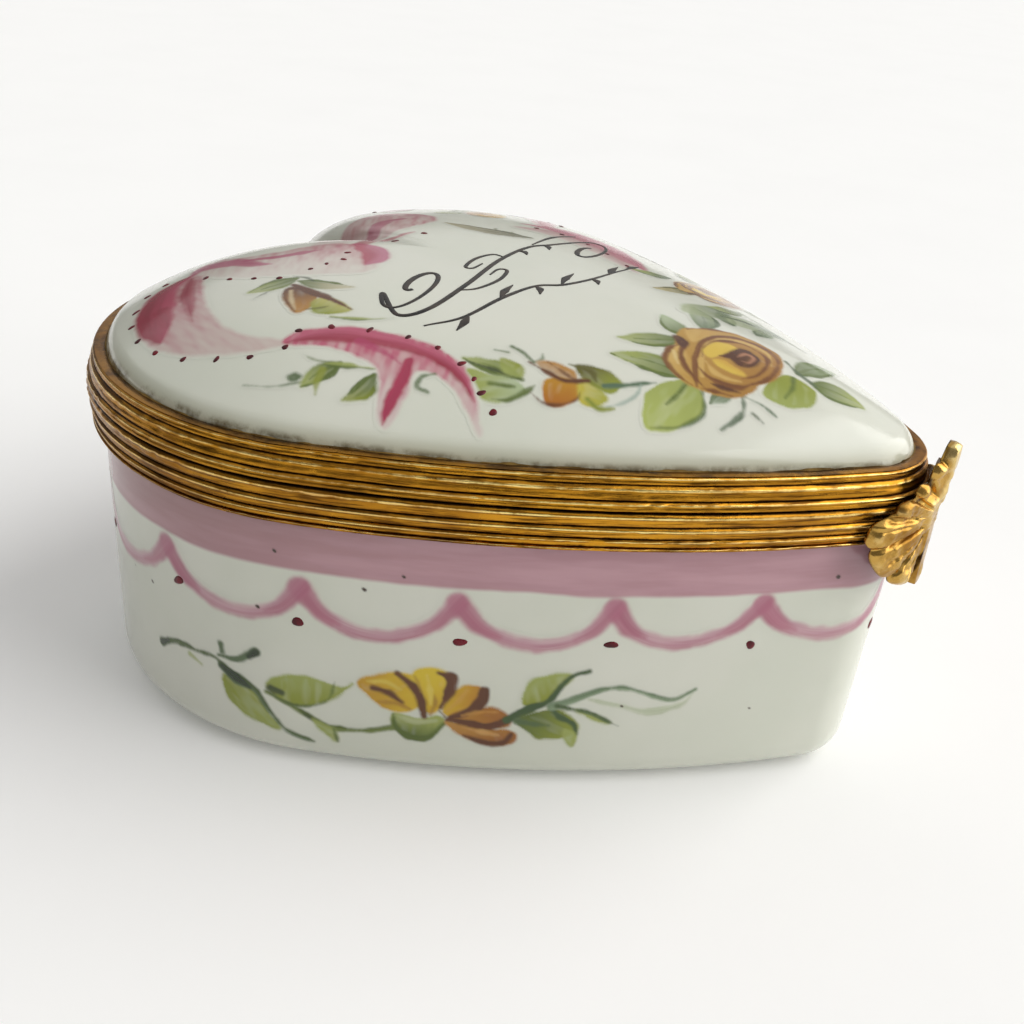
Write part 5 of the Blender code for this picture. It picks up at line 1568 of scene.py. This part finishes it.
def camera():
    data = bpy.data.cameras.new("camera")
    data.lens = LENS
    data.sensor_width = SENSOR
    data.clip_start = 0.01
    data.clip_end = 20
    made = in_scene("camera", data)
    turn, rise = math.radians(CAMERA_BEARING), math.radians(CAMERA_RISE)
    back = Vector((math.sin(turn) * math.cos(rise), -math.cos(turn) * math.cos(rise), math.sin(rise)))
    level = (-back).cross(Vector((0, 0, 1))).normalized()
    upright = level.cross(-back)
    roll = math.radians(CAMERA_ROLL)
    right = math.cos(roll) * level + math.sin(roll) * upright
    up = -math.sin(roll) * level + math.cos(roll) * upright
    place = Matrix((right, up, back)).transposed().to_4x4()
    place.translation = (Vector(CAMERA_TARGET) + back * CAMERA_DISTANCE) * MM
    made.matrix_world = place
    bpy.context.scene.camera = made


def broad_light(name, towards, strength, spread_angle, colour):
    """A soft light from a direction, as even as daylight from a large window."""
    data = bpy.data.lights.new(name, "SUN")
    data.energy = strength
    data.angle = math.radians(spread_angle)
    data.color = colour
    in_scene(name, data).rotation_euler = Vector(towards).to_track_quat("Z", "Y").to_euler()


FLOOR_REACH = 40.0


def studio():
    """A plain pale floor, two broad lights, and a dim sky that looks as pale as the floor to the camera."""
    mesh = bpy.data.meshes.new("floor")
    corners = [(x * FLOOR_REACH, y * FLOOR_REACH, 0) for x, y in ((-1, -1), (1, -1), (1, 1), (-1, 1))]
    mesh.from_pydata(corners, [], [(0, 1, 2, 3)])
    mesh.materials.append(pale_paper("pale_floor"))
    floor = in_scene("floor", mesh)
    world = bpy.data.worlds.new("studio")
    world.use_nodes = True
    tree = world.node_tree
    sky = tree.nodes["Background"]
    sky.inputs["Color"].default_value = (1.0, 0.98, 0.94, 1.0)
    sky.inputs["Strength"].default_value = 0.2
    backdrop = tree.nodes.new("ShaderNodeBackground")
    backdrop.inputs["Color"].default_value = (0.955, 0.95, 0.935, 1.0)
    seen = tree.nodes.new("ShaderNodeMixShader")
    tree.links.new(tree.nodes.new("ShaderNodeLightPath").outputs["Is Camera Ray"], seen.inputs[0])
    tree.links.new(sky.outputs[0], seen.inputs[1])
    tree.links.new(backdrop.outputs[0], seen.inputs[2])
    tree.links.new(seen.outputs[0], tree.nodes["World Output"].inputs["Surface"])
    bpy.context.scene.world = world
    bpy.context.scene.view_settings.view_transform = "Standard"
    broad_light("key", (0.46, -0.8, 0.5), 3.3, 80, (1.0, 0.99, 0.97))
    broad_light("overhead", (0.35, 0.05, 1.0), 1.06, 120, (0.99, 0.99, 1.0))


# ---------------------------------------------------------------- build

def main():
    porcelain_bowl()
    porcelain_dome()
    paint_film("lid_painting", paint_lid(), lambda x, y: lid_point(x, y, FILM), LID_PORCELAIN, "lid")
    paint_film("base_painting", paint_base(), lambda s, z: wall_point(s, z, FILM), BASE_PORCELAIN, "base")
    sizes = np.random.default_rng(7).uniform(0.4, 0.56, len(LID_DOTS))
    enamel_dots("lid_dots", LID_DOTS, sizes, lid_point, DOT_ENAMEL, "lid")
    one_side = [*BASE_DOTS, *((-s, z) for s, z in BASE_DOTS[1:])]
    sizes = np.random.default_rng(9).uniform(0.65, 0.85, len(one_side))
    enamel_dots("base_dots", one_side, sizes, wall_point, DOT_ENAMEL, "base")
    flourish()
    base_band()
    lid_band()
    cement_beads()
    cast_clasp()
    hinge_pieces()
    studio()
    camera()


main()
